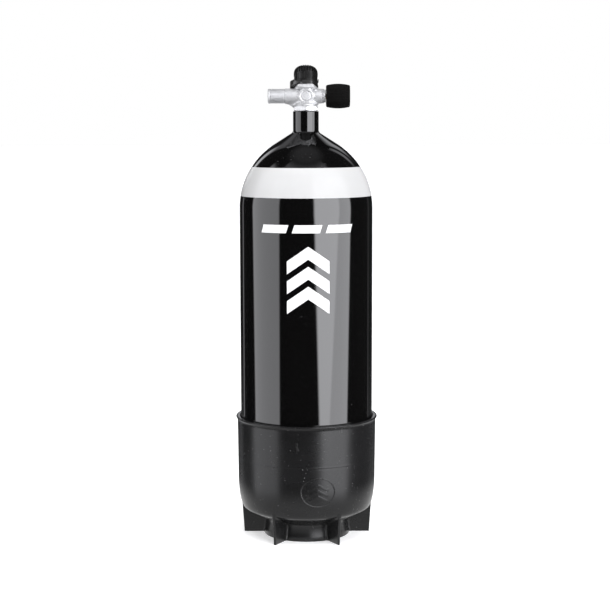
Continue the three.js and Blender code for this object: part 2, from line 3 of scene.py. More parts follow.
import bmesh
import bpy
import numpy as np
from mathutils import Matrix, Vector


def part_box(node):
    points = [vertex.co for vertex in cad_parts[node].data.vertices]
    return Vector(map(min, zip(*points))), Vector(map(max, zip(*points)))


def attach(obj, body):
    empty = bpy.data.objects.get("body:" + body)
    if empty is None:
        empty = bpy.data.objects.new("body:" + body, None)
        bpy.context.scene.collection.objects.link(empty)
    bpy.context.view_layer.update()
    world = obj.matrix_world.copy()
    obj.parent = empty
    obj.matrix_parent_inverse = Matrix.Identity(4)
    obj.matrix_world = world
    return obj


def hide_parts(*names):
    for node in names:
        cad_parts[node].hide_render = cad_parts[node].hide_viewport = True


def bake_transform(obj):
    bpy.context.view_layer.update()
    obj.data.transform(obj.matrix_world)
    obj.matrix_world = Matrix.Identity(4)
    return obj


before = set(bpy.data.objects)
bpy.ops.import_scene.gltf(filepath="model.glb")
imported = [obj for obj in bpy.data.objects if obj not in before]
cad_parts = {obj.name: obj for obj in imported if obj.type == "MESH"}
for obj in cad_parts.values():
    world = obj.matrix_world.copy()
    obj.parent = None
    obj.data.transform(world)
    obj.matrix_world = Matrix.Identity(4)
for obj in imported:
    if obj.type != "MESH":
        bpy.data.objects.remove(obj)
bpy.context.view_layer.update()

# The scuba tank's looks: a gloss black steel cylinder in a satin boot, with a satin chrome valve.
# Lengths are in millimetres in the shape functions, and new_mesh turns them into metres.

MM = 0.001


def node_box(name):
    """A CAD node's lowest and highest corners, in millimetres."""
    low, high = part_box(name)
    return np.array(low) / MM, np.array(high) / MM


# ---- sizes, from the frame

TANK_LOW, TANK_HIGH = node_box("tank_cylinder")
_, BOOT_HIGH = node_box("tank_boot")
BODY_LOW, _ = node_box("valve_body")
GLAND_LOW, GLAND_HIGH = node_box("gland_nut")
GRIP_LOW, GRIP_HIGH = node_box("knob_grip")
PLUG_LOW, PLUG_HIGH = node_box("port_plug")

TANK_R = TANK_HIGH[0]
TANK_BOTTOM = TANK_LOW[2]
NECK_TOP = TANK_HIGH[2]
BOOT_TOP = BOOT_HIGH[2]
BEAD_R = BOOT_HIGH[0]
VALVE_Z = (GRIP_LOW[2] + GRIP_HIGH[2]) / 2

# Cylinder.
WALL = 4.7
CROWN_R = 150.0
KNUCKLE_R = 40.0
KNUCKLE_TOP = 80.0
SHOULDER_Z = 506.0
SHOULDER_R = 116.0
SHOULDER_SWEEP = math.radians(57.6)
NECK_R = 19.5
NECK_FILLET = 6.0
NECK_BORE_R = 12.9
NECK_CHAMFER = 4.5

# Boot.
BOOT_WALL = 5.0
BOOT_CLEAR = 0.5
FOOT_R = 67.0
FOOT_INNER_R = 62.7
DRAIN_R = 12.0
FIN_COUNT = 6
FIN_THICK = 3.8

# Valve body.
STEM_R = 12.5
BASE_AF = 36.0
LEFT_R = 11.6
STUB_R = 11.2
RIGHT_R = 11.2
STUB_START = -34.0
PORT_R = 8.0

# Outlet, and the pad on the valve's front.
OUTLET_TILT = math.radians(30)
BOSS_R = 15.6
BOSS_END = 28.0
SOCKET_R = 11.45
SOCKET_FLOOR = 12.0
FLANGE_AF = 39.0
FLANGE_BOTTOM = 3.6
FLANGE_TOP = 10.0
PAD_AF = 22.6
PAD_FRONT = 13.0

# Outlet cap and collar, as heights along the outlet.
CAP_BOTTOM = 19.2
CAP_SKIRT_R = 17.9
CAP_RIM_R = 18.3
CAP_RIM_START = 34.0
CAP_TOP = 46.2
CAP_TEETH = 28
COLLAR_START = 25.4
COLLAR_HEIGHT = 3.2

# White band on the shoulder.
BAND_LOW = 525.6
BAND_HIGH = 569.5

# Turns from the valve's frame, and the frames that a shape is made in.
UPRIGHT = Matrix.Identity(4)
AT_VALVE = Matrix.Translation((0, 0, VALVE_Z))
TURN_X = Matrix.Rotation(math.pi / 2, 4, "Y")
TURN_OUTLET = Matrix.Rotation(-OUTLET_TILT, 4, "X")
TURN_FRONT = Matrix.Rotation(math.pi / 2, 4, "X")
ALONG_X = AT_VALVE @ TURN_X
ALONG_OUTLET = AT_VALVE @ TURN_OUTLET

# ---- mesh helpers


def add_object(name, data):
    made = bpy.data.objects.new(name, data)
    bpy.context.scene.collection.objects.link(made)
    return made


def new_mesh(name, points, faces, place=UPRIGHT, smooth_angle=35):
    """A mesh object from points in millimetres in a shape's own frame."""
    mesh = bpy.data.meshes.new(name)
    placed = np.array(points, float) @ np.array(place.to_3x3()).T + np.array(place.translation)
    mesh.from_pydata((placed * MM).tolist(), [], faces)
    mesh.validate()
    return smooth_by_angle(add_object(name, mesh), smooth_angle)


def smooth_by_angle(piece, degrees):
    piece.data.shade_smooth()
    piece.data.set_sharp_from_angle(angle=math.radians(degrees))
    return piece


def arc(centre_r, centre_z, radius, start, end, steps):
    angles = np.linspace(start, end, steps + 1)
    return [(centre_r + radius * math.cos(a), centre_z + radius * math.sin(a)) for a in angles]


def between(value, low, high, soft):
    """1 from low to high and 0 outside, with a straight slope of width soft inside each end."""
    return np.clip((value - low) / soft, 0, 1) * np.clip((high - value) / soft, 0, 1)


def signed_area(points):
    p = np.array(points)
    q = np.roll(p, -1, axis=0)
    return float(np.sum(p[:, 0] * q[:, 1] - q[:, 0] * p[:, 1]))


def rounded(corners, steps=4):
    """An outline from (radius, height, rounding) corners, with each rounding as an arc."""
    points = []
    count = len(corners)
    for i, (r, z, radius) in enumerate(corners):
        here = np.array([r, z], float)
        back = np.array(corners[i - 1][:2], float) - here
        ahead = np.array(corners[(i + 1) % count][:2], float) - here
        if radius <= 0:
            points.append(tuple(here))
            continue
        a = back / np.linalg.norm(back)
        b = ahead / np.linalg.norm(ahead)
        half = math.acos(float(np.clip(a @ b, -1, 1))) / 2
        reach = radius / math.tan(half)
        centre = here + (a + b) / np.linalg.norm(a + b) * radius / math.sin(half)
        for t in np.linspace(0, 1, steps + 1):
            along = here + a * reach * (1 - t) + b * reach * t - centre
            points.append(tuple(centre + along / np.linalg.norm(along) * radius))
    return points


def revolve(name, outline, steps, place=UPRIGHT, radius_at=None, smooth_angle=35):
    """A piece turned about its own Z axis from an outline that ends on the axis or closes on itself.
    radius_at(radius, height, angle) may change each point's radius."""
    outline = list(outline)
    if signed_area(outline) < 0:
        outline.reverse()
    on_axis = [i for i, (r, _) in enumerate(outline) if r < 1e-6]
    closed = not on_axis
    if on_axis:
        while not (outline[0][0] < 1e-6 and outline[-1][0] < 1e-6):
            outline.append(outline.pop(0))
    profile = np.array(outline, float)
    angles = np.linspace(0, 2 * math.pi, steps, endpoint=False)
    radius = np.repeat(profile[:, :1], steps, axis=1)
    height = np.repeat(profile[:, 1:], steps, axis=1)
    if radius_at:
        radius = radius_at(radius, height, angles[None, :] + 0 * radius)
    points = np.stack([radius * np.cos(angles), radius * np.sin(angles), height], -1)
    rows = len(profile)
    index = np.arange(rows * steps).reshape(rows, steps)
    if on_axis:
        index[0, :] = index[0, 0]
        index[-1, :] = index[-1, 0]
    faces = []
    for i in range(rows if closed else rows - 1):
        low, high = index[i], index[(i + 1) % rows]
        for j in range(steps):
            k = (j + 1) % steps
            corners = [low[j], low[k], high[k], high[j]]
            face = [int(v) for n, v in enumerate(corners) if v != corners[n - 1]]
            if len(face) > 2:
                faces.append(face)
    used = sorted({v for f in faces for v in f})
    renumber = {v: n for n, v in enumerate(used)}
    flat = points.reshape(-1, 3)[used]
    faces = [[renumber[v] for v in f] for f in faces]
    return new_mesh(name, flat, faces, place, smooth_angle)


def plate(name, front, back, place=UPRIGHT):
    """A closed plate between two grids of points, each an array of columns, rows and coordinates."""
    columns, rows = front.shape[:2]
    index = np.arange(columns * rows).reshape(columns, rows)
    other = index + columns * rows
    faces = []
    for i in range(columns - 1):
        for j in range(rows - 1):
            faces.append([index[i, j], index[i + 1, j], index[i + 1, j + 1], index[i, j + 1]])
            faces.append([other[i, j], other[i, j + 1], other[i + 1, j + 1], other[i + 1, j]])
    rim = (
        [(i, 0) for i in range(columns)]
        + [(columns - 1, j) for j in range(1, rows)]
        + [(i, rows - 1) for i in range(columns - 2, -1, -1)]
        + [(0, j) for j in range(rows - 2, 0, -1)]
    )
    for a, b in zip(rim, rim[1:] + rim[:1]):
        faces.append([index[b], index[a], other[a], other[b]])
    points = np.concatenate([front.reshape(-1, 3), back.reshape(-1, 3)])
    return new_mesh(name, points, [[int(v) for v in face] for face in faces], place)


def apply_modifiers(piece):
    """Replaces the piece's mesh with what its modifiers make of it."""
    graph = bpy.context.evaluated_depsgraph_get()
    graph.update()
    made = bpy.data.meshes.new_from_object(piece.evaluated_get(graph))
    piece.modifiers.clear()
    piece.data = made


def boolean(piece, operation, *tools):
    for tool in tools:
        modifier = piece.modifiers.new(operation.lower(), "BOOLEAN")
        modifier.operation = operation
        modifier.solver = "EXACT"
        modifier.object = tool
        apply_modifiers(piece)
        bpy.data.objects.remove(tool)


def bevel_edges(piece, width):
    """Rounds the piece's hard edges. Width in millimetres."""
    modifier = piece.modifiers.new("edges", "BEVEL")
    modifier.width = width * MM
    modifier.segments = 2
    modifier.limit_method = "ANGLE"
    modifier.angle_limit = math.radians(30)
    modifier.harden_normals = False


# ---- distance fields


def smooth_min(a, b, k):
    """The union of two fields, blended over a width k."""
    h = np.clip(0.5 + 0.5 * (b - a) / k, 0, 1)
    return b + (a - b) * h - k * h * (1 - h)


def smooth_max(a, b, k):
    return -smooth_min(-a, -b, k)


def cut_out(a, tool, k):
    return smooth_max(a, -tool, k)


def in_frame(p, matrix):
    """Points of the valve's frame as seen in a frame that is turned by the matrix."""
    return p @ np.array(matrix.to_3x3())


def rod_field(p, radius, low, high, edge):
    """A round bar along Z with rounded rims."""
    across = np.hypot(p[:, 0], p[:, 1]) - radius + edge
    along = np.abs(p[:, 2] - (low + high) / 2) - (high - low) / 2 + edge
    outside = np.hypot(np.maximum(across, 0), np.maximum(along, 0))
    return np.minimum(np.maximum(across, along), 0) + outside - edge


def hex_field(p, flats, low, high, edge, corner_on_x=False):
    """A hexagonal bar along Z with rounded edges."""
    x, y = np.abs(p[:, 0]), np.abs(p[:, 1])
    if corner_on_x:
        x, y = y, x
    across = smooth_max(x - flats / 2, x * 0.5 + y * math.sqrt(0.75) - flats / 2, edge)
    along = np.abs(p[:, 2] - (low + high) / 2) - (high - low) / 2
    return smooth_max(across, along, edge)


def cone_field(p, low, low_r, high, high_r, edge=0.6):
    """A round bar whose radius changes evenly from one end to the other."""
    slope = (high_r - low_r) / (high - low)
    across = np.hypot(p[:, 0], p[:, 1]) - (low_r + (p[:, 2] - low) * slope)
    across = across / math.hypot(1, slope)
    along = np.abs(p[:, 2] - (low + high) / 2) - (high - low) / 2
    return smooth_max(across, along, edge)


def surface_net(field, low, high, cell):
    """The surface where a field is zero, as points and quads."""
    low, high = np.array(low, float), np.array(high, float)
    counts = np.ceil((high - low) / cell).astype(int) + 1
    axes = [low[i] + cell * np.arange(counts[i]) for i in range(3)]
    values = np.empty(counts, np.float32)
    for i, x in enumerate(axes[0]):
        y, z = np.meshgrid(axes[1], axes[2], indexing="ij")
        slab = np.stack([np.full(y.size, x), y.ravel(), z.ravel()], -1)
        values[i] = field(slab).reshape(y.shape)
    inside = values < 0
    cells = counts - 1
    corner_sum = np.zeros(cells, np.uint8)
    for corner in np.ndindex(2, 2, 2):
        part = tuple(slice(c, c + n) for c, n in zip(corner, cells))
        corner_sum += inside[part]
    active = (corner_sum > 0) & (corner_sum < 8)
    number = np.full(cells, -1, np.int64)
    number[active] = np.arange(int(active.sum()))
    base = np.argwhere(active)
    total = np.zeros((len(base), 3))
    hits = np.zeros(len(base))
    for axis in range(3):
        for offset in np.ndindex(2, 2):
            start = np.insert(np.array(offset), axis, 0)
            end = start.copy()
            end[axis] = 1
            a = values[tuple((base + start).T)]
            b = values[tuple((base + end).T)]
            crossed = (a < 0) != (b < 0)
            t = np.where(crossed, a / np.where(crossed, a - b, 1), 0)
            point = start + t[:, None] * (end - start)
            total[crossed] += point[crossed]
            hits += crossed
    points = low + (base + total / hits[:, None]) * cell
    for _ in range(3):
        points = points - step_to_surface(field, points, cell * 0.2)
    quads = []
    for axis in range(3):
        a, b = np.delete(inside, -1, axis), np.delete(inside, 0, axis)
        edges = np.argwhere(a != b)
        leaving = a[tuple(edges.T)]
        one, two = [i for i in range(3) if i != axis]
        corners = []
        for d_one, d_two in ((0, 0), (1, 0), (1, 1), (0, 1)):
            at = edges.copy()
            at[:, one] -= 1 - d_one
            at[:, two] -= 1 - d_two
            corners.append(number[tuple(at.T)])
        quad = np.stack(corners, -1)
        flip = leaving if axis != 1 else ~leaving
        quad[~flip] = quad[~flip][:, ::-1]
        quads.append(quad)
    return points, np.concatenate(quads).tolist()


def step_to_surface(field, points, reach):
    """The move that takes each point off the surface, from the field's slope there."""
    value = field(points)
    slope = np.zeros_like(points)
    for axis in range(3):
        shift = np.zeros(3)
        shift[axis] = reach
        slope[:, axis] = (field(points + shift) - field(points - shift)) / (2 * reach)
    size = np.maximum((slope**2).sum(1), 0.25)
    return (value / size)[:, None] * slope


def field_mesh(name, field, low, high, cell, place):
    points, quads = surface_net(field, low, high, cell)
    return new_mesh(name, points, quads, place, 60)


# ---- materials


class Nodes:
    """A short way to write a node tree."""

    def __init__(self, tree):
        self.tree = tree

    def add(self, kind, inputs=None, **settings):
        node = self.tree.nodes.new(kind)
        for key, value in settings.items():
            setattr(node, key, value)
        for key, value in (inputs or {}).items():
            self.put(node.inputs[key], value)
        return node

    def put(self, socket, value):
        if isinstance(value, bpy.types.NodeSocket):
            self.tree.links.new(value, socket)
        else:
            socket.default_value = value

    def math(self, operation, a, b=0.0):
        return self.add("ShaderNodeMath", {0: a, 1: b}, operation=operation).outputs[0]

    def plus(self, a, b):
        return self.math("ADD", a, b)

    def times(self, a, b):
        return self.math("MULTIPLY", a, b)


class Surface(Nodes):
    """A material's node tree, with its shader."""

    def __init__(self, name):
        self.material = bpy.data.materials.new(name)
        self.material.use_nodes = True
        super().__init__(self.material.node_tree)
        self.shader = self.tree.nodes["Principled BSDF"]

    def place(self):
        return self.add("ShaderNodeTexCoord").outputs["Object"]

    def noise(self, scale, detail, rough, stretch=None):
        vector = self.place()
        if stretch:
            vector = self.add("ShaderNodeMapping", {"Vector": vector, "Scale": stretch}).outputs["Vector"]
        wanted = {"Vector": vector, "Scale": scale, "Detail": detail, "Roughness": rough}
        return self.add("ShaderNodeTexNoise", wanted).outputs["Fac"]

    def ramp(self, value, low, high, to_low=0.0, to_high=1.0):
        wanted = {"Value": value, "From Min": low, "From Max": high, "To Min": to_low, "To Max": to_high}
        return self.add("ShaderNodeMapRange", wanted).outputs["Result"]

    def mix(self, factor, a, b):
        node = self.add("ShaderNodeMix", data_type="RGBA")
        sockets = {s.name: s for s in node.inputs if s.enabled}
        for key, value in {"Factor": factor, "A": a, "B": b}.items():
            self.put(sockets[key], value)
        return next(s for s in node.outputs if s.enabled)

    def bump(self, height, distance, strength):
        """Distance in millimetres."""
        wanted = {"Height": height, "Distance": distance * MM, "Strength": strength}
        return self.add("ShaderNodeBump", wanted).outputs["Normal"]

    def set(self, **values):
        for key, value in values.items():
            self.put(self.shader.inputs[key.replace("_", " ")], value)
        return self.material


def grey(value, tint=(1, 1, 1)):
    return (value * tint[0], value * tint[1], value * tint[2], 1)


def gloss_black():
    """Sprayed black lacquer: faint orange peel, cloudy gloss and a few specks of dust."""
    n = Surface("gloss_black_paint")
    peel = n.noise(160, 2, 0.5)
    specks = n.ramp(n.noise(420, 1, 0.4), 0.74, 0.78)
    cloud = n.noise(9, 4, 0.6)
    dusty = n.times(specks, n.ramp(cloud, 0.5, 0.62))
    colour = n.mix(dusty, grey(0.0016, (1, 0.97, 0.98)), grey(0.06))
    rough = n.plus(n.ramp(cloud, 0.3, 0.7, 0.035, 0.075), n.times(dusty, 0.3))
    n.set(Base_Color=colour, Roughness=rough, Normal=n.bump(peel, 0.012, 0.5), Specular_IOR_Level=0.5)
    return n.set(Coat_Weight=0.15, Coat_Roughness=0.03)


def gloss_white(name, level):
    """White lacquer over the black, with a faint unevenness."""
    n = Surface(name)
    cloud = n.noise(14, 3, 0.6)
    colour = n.mix(n.ramp(cloud, 0.35, 0.7), grey(level), grey(level * 0.955, (1, 1, 0.995)))
    n.set(Base_Color=colour, Roughness=n.ramp(cloud, 0.3, 0.7, 0.18, 0.26))
    return n.set(Normal=n.bump(n.noise(160, 2, 0.5), 0.012, 0.5), Specular_IOR_Level=0.22)


def boot_plastic():
    """Satin moulded plastic with flow marks, fine grain, specks and rubbed scuffs."""
    n = Surface("boot_plastic")
    flow = n.noise(7, 5, 0.62, stretch=(1, 1, 2.2))
    grain = n.noise(900, 2, 0.6)
    scuffs = n.ramp(n.noise(60, 6, 0.7, stretch=(1, 1, 0.35)), 0.64, 0.72)
    specks = n.ramp(n.noise(430, 1, 0.4), 0.765, 0.785)
    base = n.mix(n.ramp(flow, 0.3, 0.7), grey(0.005, (1, 1, 1.02)), grey(0.0095, (1, 1, 1.03)))
    worn = n.mix(n.times(scuffs, 0.35), base, grey(0.06))
    colour = n.mix(n.times(specks, 0.8), worn, grey(0.16))
    rough = n.plus(n.ramp(flow, 0.3, 0.7, 0.22, 0.28), n.times(scuffs, 0.12))
    relief = n.plus(n.times(grain, 0.4), n.noise(38, 3, 0.5))
    n.set(Base_Color=colour, Roughness=rough)
    return n.set(Normal=n.bump(relief, 0.06, 0.5), Specular_IOR_Level=0.25)


def satin_chrome(name="satin_chrome", grain_scale=700, lines=None):
    """Blasted and chrome-plated brass: fine grain, cloudy sheen and, where turned, fine rings."""
    n = Surface(name)
    cloud = n.noise(150, 6, 0.75)
    grain = n.noise(grain_scale, 3, 0.6)
    colour = n.mix(n.ramp(cloud, 0.3, 0.7), grey(0.46, (0.99, 0.995, 1.015)), grey(0.60, (1, 1, 1.01)))
    relief = grain
    if lines:
        rings = n.add(
            "ShaderNodeTexWave",
            {"Vector": n.place(), "Scale": lines, "Distortion": 0.4, "Detail": 1.0},
            wave_type="BANDS",
            bands_direction="X",
        ).outputs["Fac"]
        relief = n.plus(n.times(grain, 0.5), rings)
    n.set(Base_Color=colour, Metallic=0.7, Roughness=n.ramp(cloud, 0.3, 0.7, 0.44, 0.52))
    return n.set(Normal=n.bump(relief, 0.08, 0.6))


def machined(name, level, tint, low_rough, high_rough):
    """A turned metal part."""
    n = Surface(name)
    cloud = n.noise(120, 4, 0.6)
    colour = n.mix(n.ramp(cloud, 0.3, 0.7), grey(level, tint), grey(level * 0.82, tint))
    n.set(Base_Color=colour, Metallic=1.0, Roughness=n.ramp(cloud, 0.3, 0.7, low_rough, high_rough))
    return n.set(Normal=n.bump(n.noise(1500, 2, 0.6), 0.02, 0.4))


def moulded(name, level, low_rough, high_rough, grain=0.06, scale=600, tint=(1, 1, 1), shine=0.5):
    """Rubber or plastic from a mould: grainy, with cloudy sheen and pale dust in places."""
    n = Surface(name)
    cloud = n.noise(55, 5, 0.65)
    dust = n.ramp(n.noise(180, 5, 0.7), 0.6, 0.75)
    base = n.mix(n.ramp(cloud, 0.3, 0.7), grey(level, tint), grey(level * 1.5, tint))
    colour = n.mix(n.times(dust, 0.25), base, grey(level * 3.5, tint))
    n.set(Base_Color=colour, Roughness=n.ramp(cloud, 0.3, 0.7, low_rough, high_rough))
    return n.set(Normal=n.bump(n.noise(scale, 3, 0.6), grain, 0.5), Specular_IOR_Level=shine)


PAINT = gloss_black()
# The band's white is painted darker than the marks' white (0.54 against 0.8): painted shade that holds back
# the strong light falling on the upward-facing shoulder.
SHADED_BAND_PAINT = gloss_white("gloss_white_band_painted_shade", 0.54)
MARK_PAINT = gloss_white("gloss_white_marks", 0.8)
BOOT = boot_plastic()
CHROME = satin_chrome()
TURNED_CHROME = satin_chrome("turned_chrome", 900, 260)
BRASS = machined("turned_brass", 0.72, (1, 0.76, 0.4), 0.22, 0.36)
STEEL = machined("bright_steel", 0.62, (1, 1, 1.01), 0.18, 0.3)
SEAL = moulded("seal_rubber", 0.012, 0.35, 0.5)
GRIP = moulded("grip_rubber", 0.003, 0.5, 0.65, 0.08, 700, (1.06, 1, 0.97), 0.04)
STRAP = moulded("strap_rubber", 0.005, 0.14, 0.22, 0.05, 420, (1.06, 1, 0.97), 0.6)
CAP = moulded("cap_plastic", 0.004, 0.2, 0.28, 0.06, 520, (1.02, 1, 0.98), 0.2)
CORE = moulded("knob_plastic", 0.008, 0.3, 0.42, shine=0.25)
NYLON = moulded("seat_nylon", 0.55, 0.4, 0.5)


def finish_piece(piece, body, material, slot, *nodes):
    piece.data.materials.clear()
    piece.data.materials.append(material)
    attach(piece, body)
    if nodes:
        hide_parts(*nodes)


# ---- cylinder

CROWN_CENTRE = TANK_BOTTOM + CROWN_R
KNUCKLE_CENTRE_R = TANK_R - KNUCKLE_R
KNUCKLE_ANGLE = math.atan2(KNUCKLE_CENTRE_R, CROWN_CENTRE - KNUCKLE_TOP)
SHOULDER_CENTRE_R = TANK_R - SHOULDER_R


def bottom_curve(offset, hole_r, crown_steps, knuckle_steps):
    """The round bottom, from the axis or a hole up to the straight side."""
    crown_r = CROWN_R + offset
    start = -math.pi / 2 + math.asin(hole_r / crown_r)
    change = -math.pi / 2 + KNUCKLE_ANGLE
    crown = arc(0, CROWN_CENTRE, crown_r, start, change, crown_steps)
    knuckle = arc(KNUCKLE_CENTRE_R, KNUCKLE_TOP, KNUCKLE_R + offset, change, 0, knuckle_steps)
    return crown + knuckle[1:]


def shoulder_radius(z):
    """The cylinder's outer radius at a height on the straight side or the round shoulder."""
    rise = max(z - SHOULDER_Z, 0)
    return SHOULDER_CENTRE_R + math.sqrt(SHOULDER_R**2 - rise**2)


def tank_outline():
    slope = math.pi / 2 - SHOULDER_SWEEP
    end_r = SHOULDER_CENTRE_R + SHOULDER_R * math.cos(SHOULDER_SWEEP)
    end_z = SHOULDER_Z + SHOULDER_R * math.sin(SHOULDER_SWEEP)
    fillet_r = NECK_R + NECK_FILLET
    foot_r = fillet_r - NECK_FILLET * math.sin(slope)
    foot_z = end_z + (end_r - foot_r) * math.tan(slope)
    fillet_z = foot_z + NECK_FILLET * math.cos(slope)
    sides = [(TANK_R, z) for z in np.linspace(KNUCKLE_TOP + 20, SHOULDER_Z - 12, 14)]
    cone = [(end_r + (foot_r - end_r) * t, end_z + (foot_z - end_z) * t) for t in (0.3, 0.65)]
    inner_r = SHOULDER_R - WALL
    inner_end_r = SHOULDER_CENTRE_R + inner_r * math.cos(SHOULDER_SWEEP)
    inner_end_z = SHOULDER_Z + inner_r * math.sin(SHOULDER_SWEEP)
    throat_z = inner_end_z + (inner_end_r - NECK_BORE_R - 2) * math.tan(slope)
    lip = 0.8
    outside = (
        bottom_curve(0, 0, 10, 14)
        + sides
        + arc(SHOULDER_CENTRE_R, SHOULDER_Z, SHOULDER_R, 0, SHOULDER_SWEEP, 36)
        + cone
        + arc(fillet_r, fillet_z, NECK_FILLET, math.pi * 1.5 - slope, math.pi, 8)
        + [(NECK_R, fillet_z + 4), (NECK_R, NECK_TOP - lip - 1)]
        + arc(NECK_R - lip, NECK_TOP - lip, lip, 0, math.pi / 2, 4)
        + [(NECK_BORE_R + NECK_CHAMFER, NECK_TOP), (NECK_BORE_R, NECK_TOP - NECK_CHAMFER)]
    )
    inside = (
        [(NECK_BORE_R, throat_z + 3), (NECK_BORE_R + 2, throat_z)]
        + arc(SHOULDER_CENTRE_R, SHOULDER_Z, inner_r, SHOULDER_SWEEP, 0, 12)
        + bottom_curve(-WALL, 0, 6, 8)[::-1]
    )
    inside[-1] = (0.0, inside[-1][1])
    outside[0] = (0.0, outside[0][1])
    return outside + inside


tank = revolve("tank_steel", tank_outline(), 256)
finish_piece(tank, "cylinder", PAINT, "tank_paint", "tank_cylinder")


# ---- painted marks, as thin films of paint

FILM = 0.14
FILM_DEPTH = 0.4


def shoulder_band():
    """The white band round the shoulder, as a closed thin ring."""
    heights = np.linspace(BAND_LOW, BAND_HIGH, 22)
    outer = [(shoulder_radius(z) + FILM, z) for z in heights]
    inner = [(shoulder_radius(z) - FILM_DEPTH, z) for z in heights[::-1]]
    return revolve("shoulder_band", outer + inner, 256)


WRAP_STEP = 3
WRAP_REACH = 90


def wrapped_mark(name, outline):
    """A thin mark wrapped on the cylinder's front. The outline is in (sideways, height) millimetres."""
    maker = bmesh.new()
    flat = [maker.verts.new((x, z, 0)) for x, z in outline]
    maker.faces.new(flat)
    for _ in range(5):
        long_edges = [e for e in maker.edges if abs(e.verts[0].co.x - e.verts[1].co.x) > WRAP_STEP]
        if not long_edges:
            break
        bmesh.ops.subdivide_edges(maker, edges=long_edges, cuts=1)
    bmesh.ops.triangulate(maker, faces=maker.faces[:])
    for x in np.arange(-WRAP_REACH, WRAP_REACH, WRAP_STEP):
        geometry = maker.verts[:] + maker.edges[:] + maker.faces[:]
        bmesh.ops.bisect_plane(maker, geom=geometry, plane_co=(x, 0, 0), plane_no=(1, 0, 0))
    extruded = bmesh.ops.extrude_face_region(maker, geom=maker.faces[:])
    raised = {v for v in extruded["geom"] if isinstance(v, bmesh.types.BMVert)}
    for v in maker.verts:
        x, z = v.co.x, v.co.y
        radius = TANK_R + (FILM if v in raised else -FILM_DEPTH)
        angle = x / TANK_R
        v.co = (radius * math.sin(angle) * MM, -radius * math.cos(angle) * MM, z * MM)
    bmesh.ops.recalc_face_normals(maker, faces=maker.faces[:])
    mesh = bpy.data.meshes.new(name)
    maker.to_mesh(mesh)
    maker.free()
    return smooth_by_angle(add_object(name, mesh), 35)


BAR_Z = 480.5
BAR_WIDTH = 147.0
BAR_HEIGHT = 12.0
EMBLEM_X = 3.0
EMBLEM_Z = 404.8
EMBLEM_WIDTH = 64.0
EMBLEM_HEIGHT = 100.0
BAR_GAP = 5.0
BAR_SLANT = 4.0
CHEVRON_THICK = 19.0
CHEVRON_RISE = 22.0


def bar_outline(left, right):
    low, high = BAR_Z - BAR_HEIGHT / 2, BAR_Z + BAR_HEIGHT / 2
    return [(left, low), (right - BAR_SLANT, low), (right, high), (left + BAR_SLANT, high)]


def chevron_outline(foot):
    """An upward-pointing chevron."""
    left, right = EMBLEM_X - EMBLEM_WIDTH / 2, EMBLEM_X + EMBLEM_WIDTH / 2
    lower = [(left, foot), (EMBLEM_X, foot + CHEVRON_RISE), (right, foot)]
    return lower + [(x, z + CHEVRON_THICK) for x, z in lower[::-1]]


def painted_marks():
    """A broken bar, and three chevrons below it."""
    marks = []
    wide = (BAR_WIDTH - 2 * BAR_GAP) / 3
    for i in range(3):
        left = -BAR_WIDTH / 2 + i * (wide + BAR_GAP) + EMBLEM_X * 0.5
        marks.append(wrapped_mark(f"bar_mark_{i + 1}", bar_outline(left, left + wide)))
    step = (EMBLEM_HEIGHT - CHEVRON_THICK - CHEVRON_RISE) / 2
    for i in range(3):
        foot = EMBLEM_Z - EMBLEM_HEIGHT / 2 + i * step
        marks.append(wrapped_mark(f"chevron_mark_{i + 1}", chevron_outline(foot)))
    return marks


finish_piece(shoulder_band(), "cylinder", SHADED_BAND_PAINT, "tank_paint")
for mark in painted_marks():
    finish_piece(mark, "cylinder", MARK_PAINT, "tank_paint")


# ---- boot


def bezier(p0, p1, p2, p3, steps):
    t = np.linspace(0, 1, steps + 1)[:, None]
    p0, p1, p2, p3 = (np.array(p, float) for p in (p0, p1, p2, p3))
    points = (1 - t) ** 3 * p0 + 3 * (1 - t) ** 2 * t * p1 + 3 * (1 - t) * t**2 * p2 + t**3 * p3
    return [tuple(p) for p in points]


PARTING_Z = 123.0
SIDE_TOP_Z = BOOT_TOP - 4.6
SIDE_FOOT_Z = 90.0
SIDE_FOOT_R = TANK_R + BOOT_WALL - 0.5
BEAD = 1.5
HAUNCH_END = (100.6, 48.2)
KNUCKLE_END = (93.5, 40.2)
ROOT_START = (71, 28.8)
ROOT_END = (63.7, 19)


def side_radius(z):
    """The boot's side leans out by 1 mm on its way up to the bead."""
    return SIDE_FOOT_R + (z - SIDE_FOOT_Z) / (SIDE_TOP_Z - SIDE_FOOT_Z)


def boot_outside():
    """The boot's outside, from under the rim's bead down to the foot ring."""
    above = [SIDE_TOP_Z - fall for fall in (0, 3, 8, 18, 30, 42)]
    above += [PARTING_Z + rise for rise in (8, 4, 2)]
    below = [PARTING_Z - fall for fall in (1.6, 4, 8)] + [SIDE_FOOT_Z + rise for rise in (18, 11, 6, 3)]
    line_r = side_radius(PARTING_Z)
    parting = [(line_r + out, PARTING_Z + rise) for out, rise in ((0.02, 0.9), (0.16, 0.3), (-0.1, -0.4))]
    side = [(side_radius(z), z) for z in above] + parting + [(side_radius(z), z) for z in below]
    haunch = bezier((SIDE_FOOT_R, SIDE_FOOT_Z), (SIDE_FOOT_R - 0.1, 72), (103.6, 56), HAUNCH_END, 14)
    knuckle = bezier(HAUNCH_END, (99.4, 44.6), (97.2, 42.2), KNUCKLE_END, 8)
    under = bezier(KNUCKLE_END, (80, 33.6), (76, 31.2), ROOT_START, 6)
    root = bezier(ROOT_START, (65.5, 26.4), (63.8, 24), ROOT_END, 8)
    foot = [(65.2, 8.0), (FOOT_R - 0.1, 1.2), (FOOT_R - 0.5, 0.3), (FOOT_R - 1.2, 0.0)]
    return side + haunch + knuckle[1:] + under[1:] + root[1:] + foot


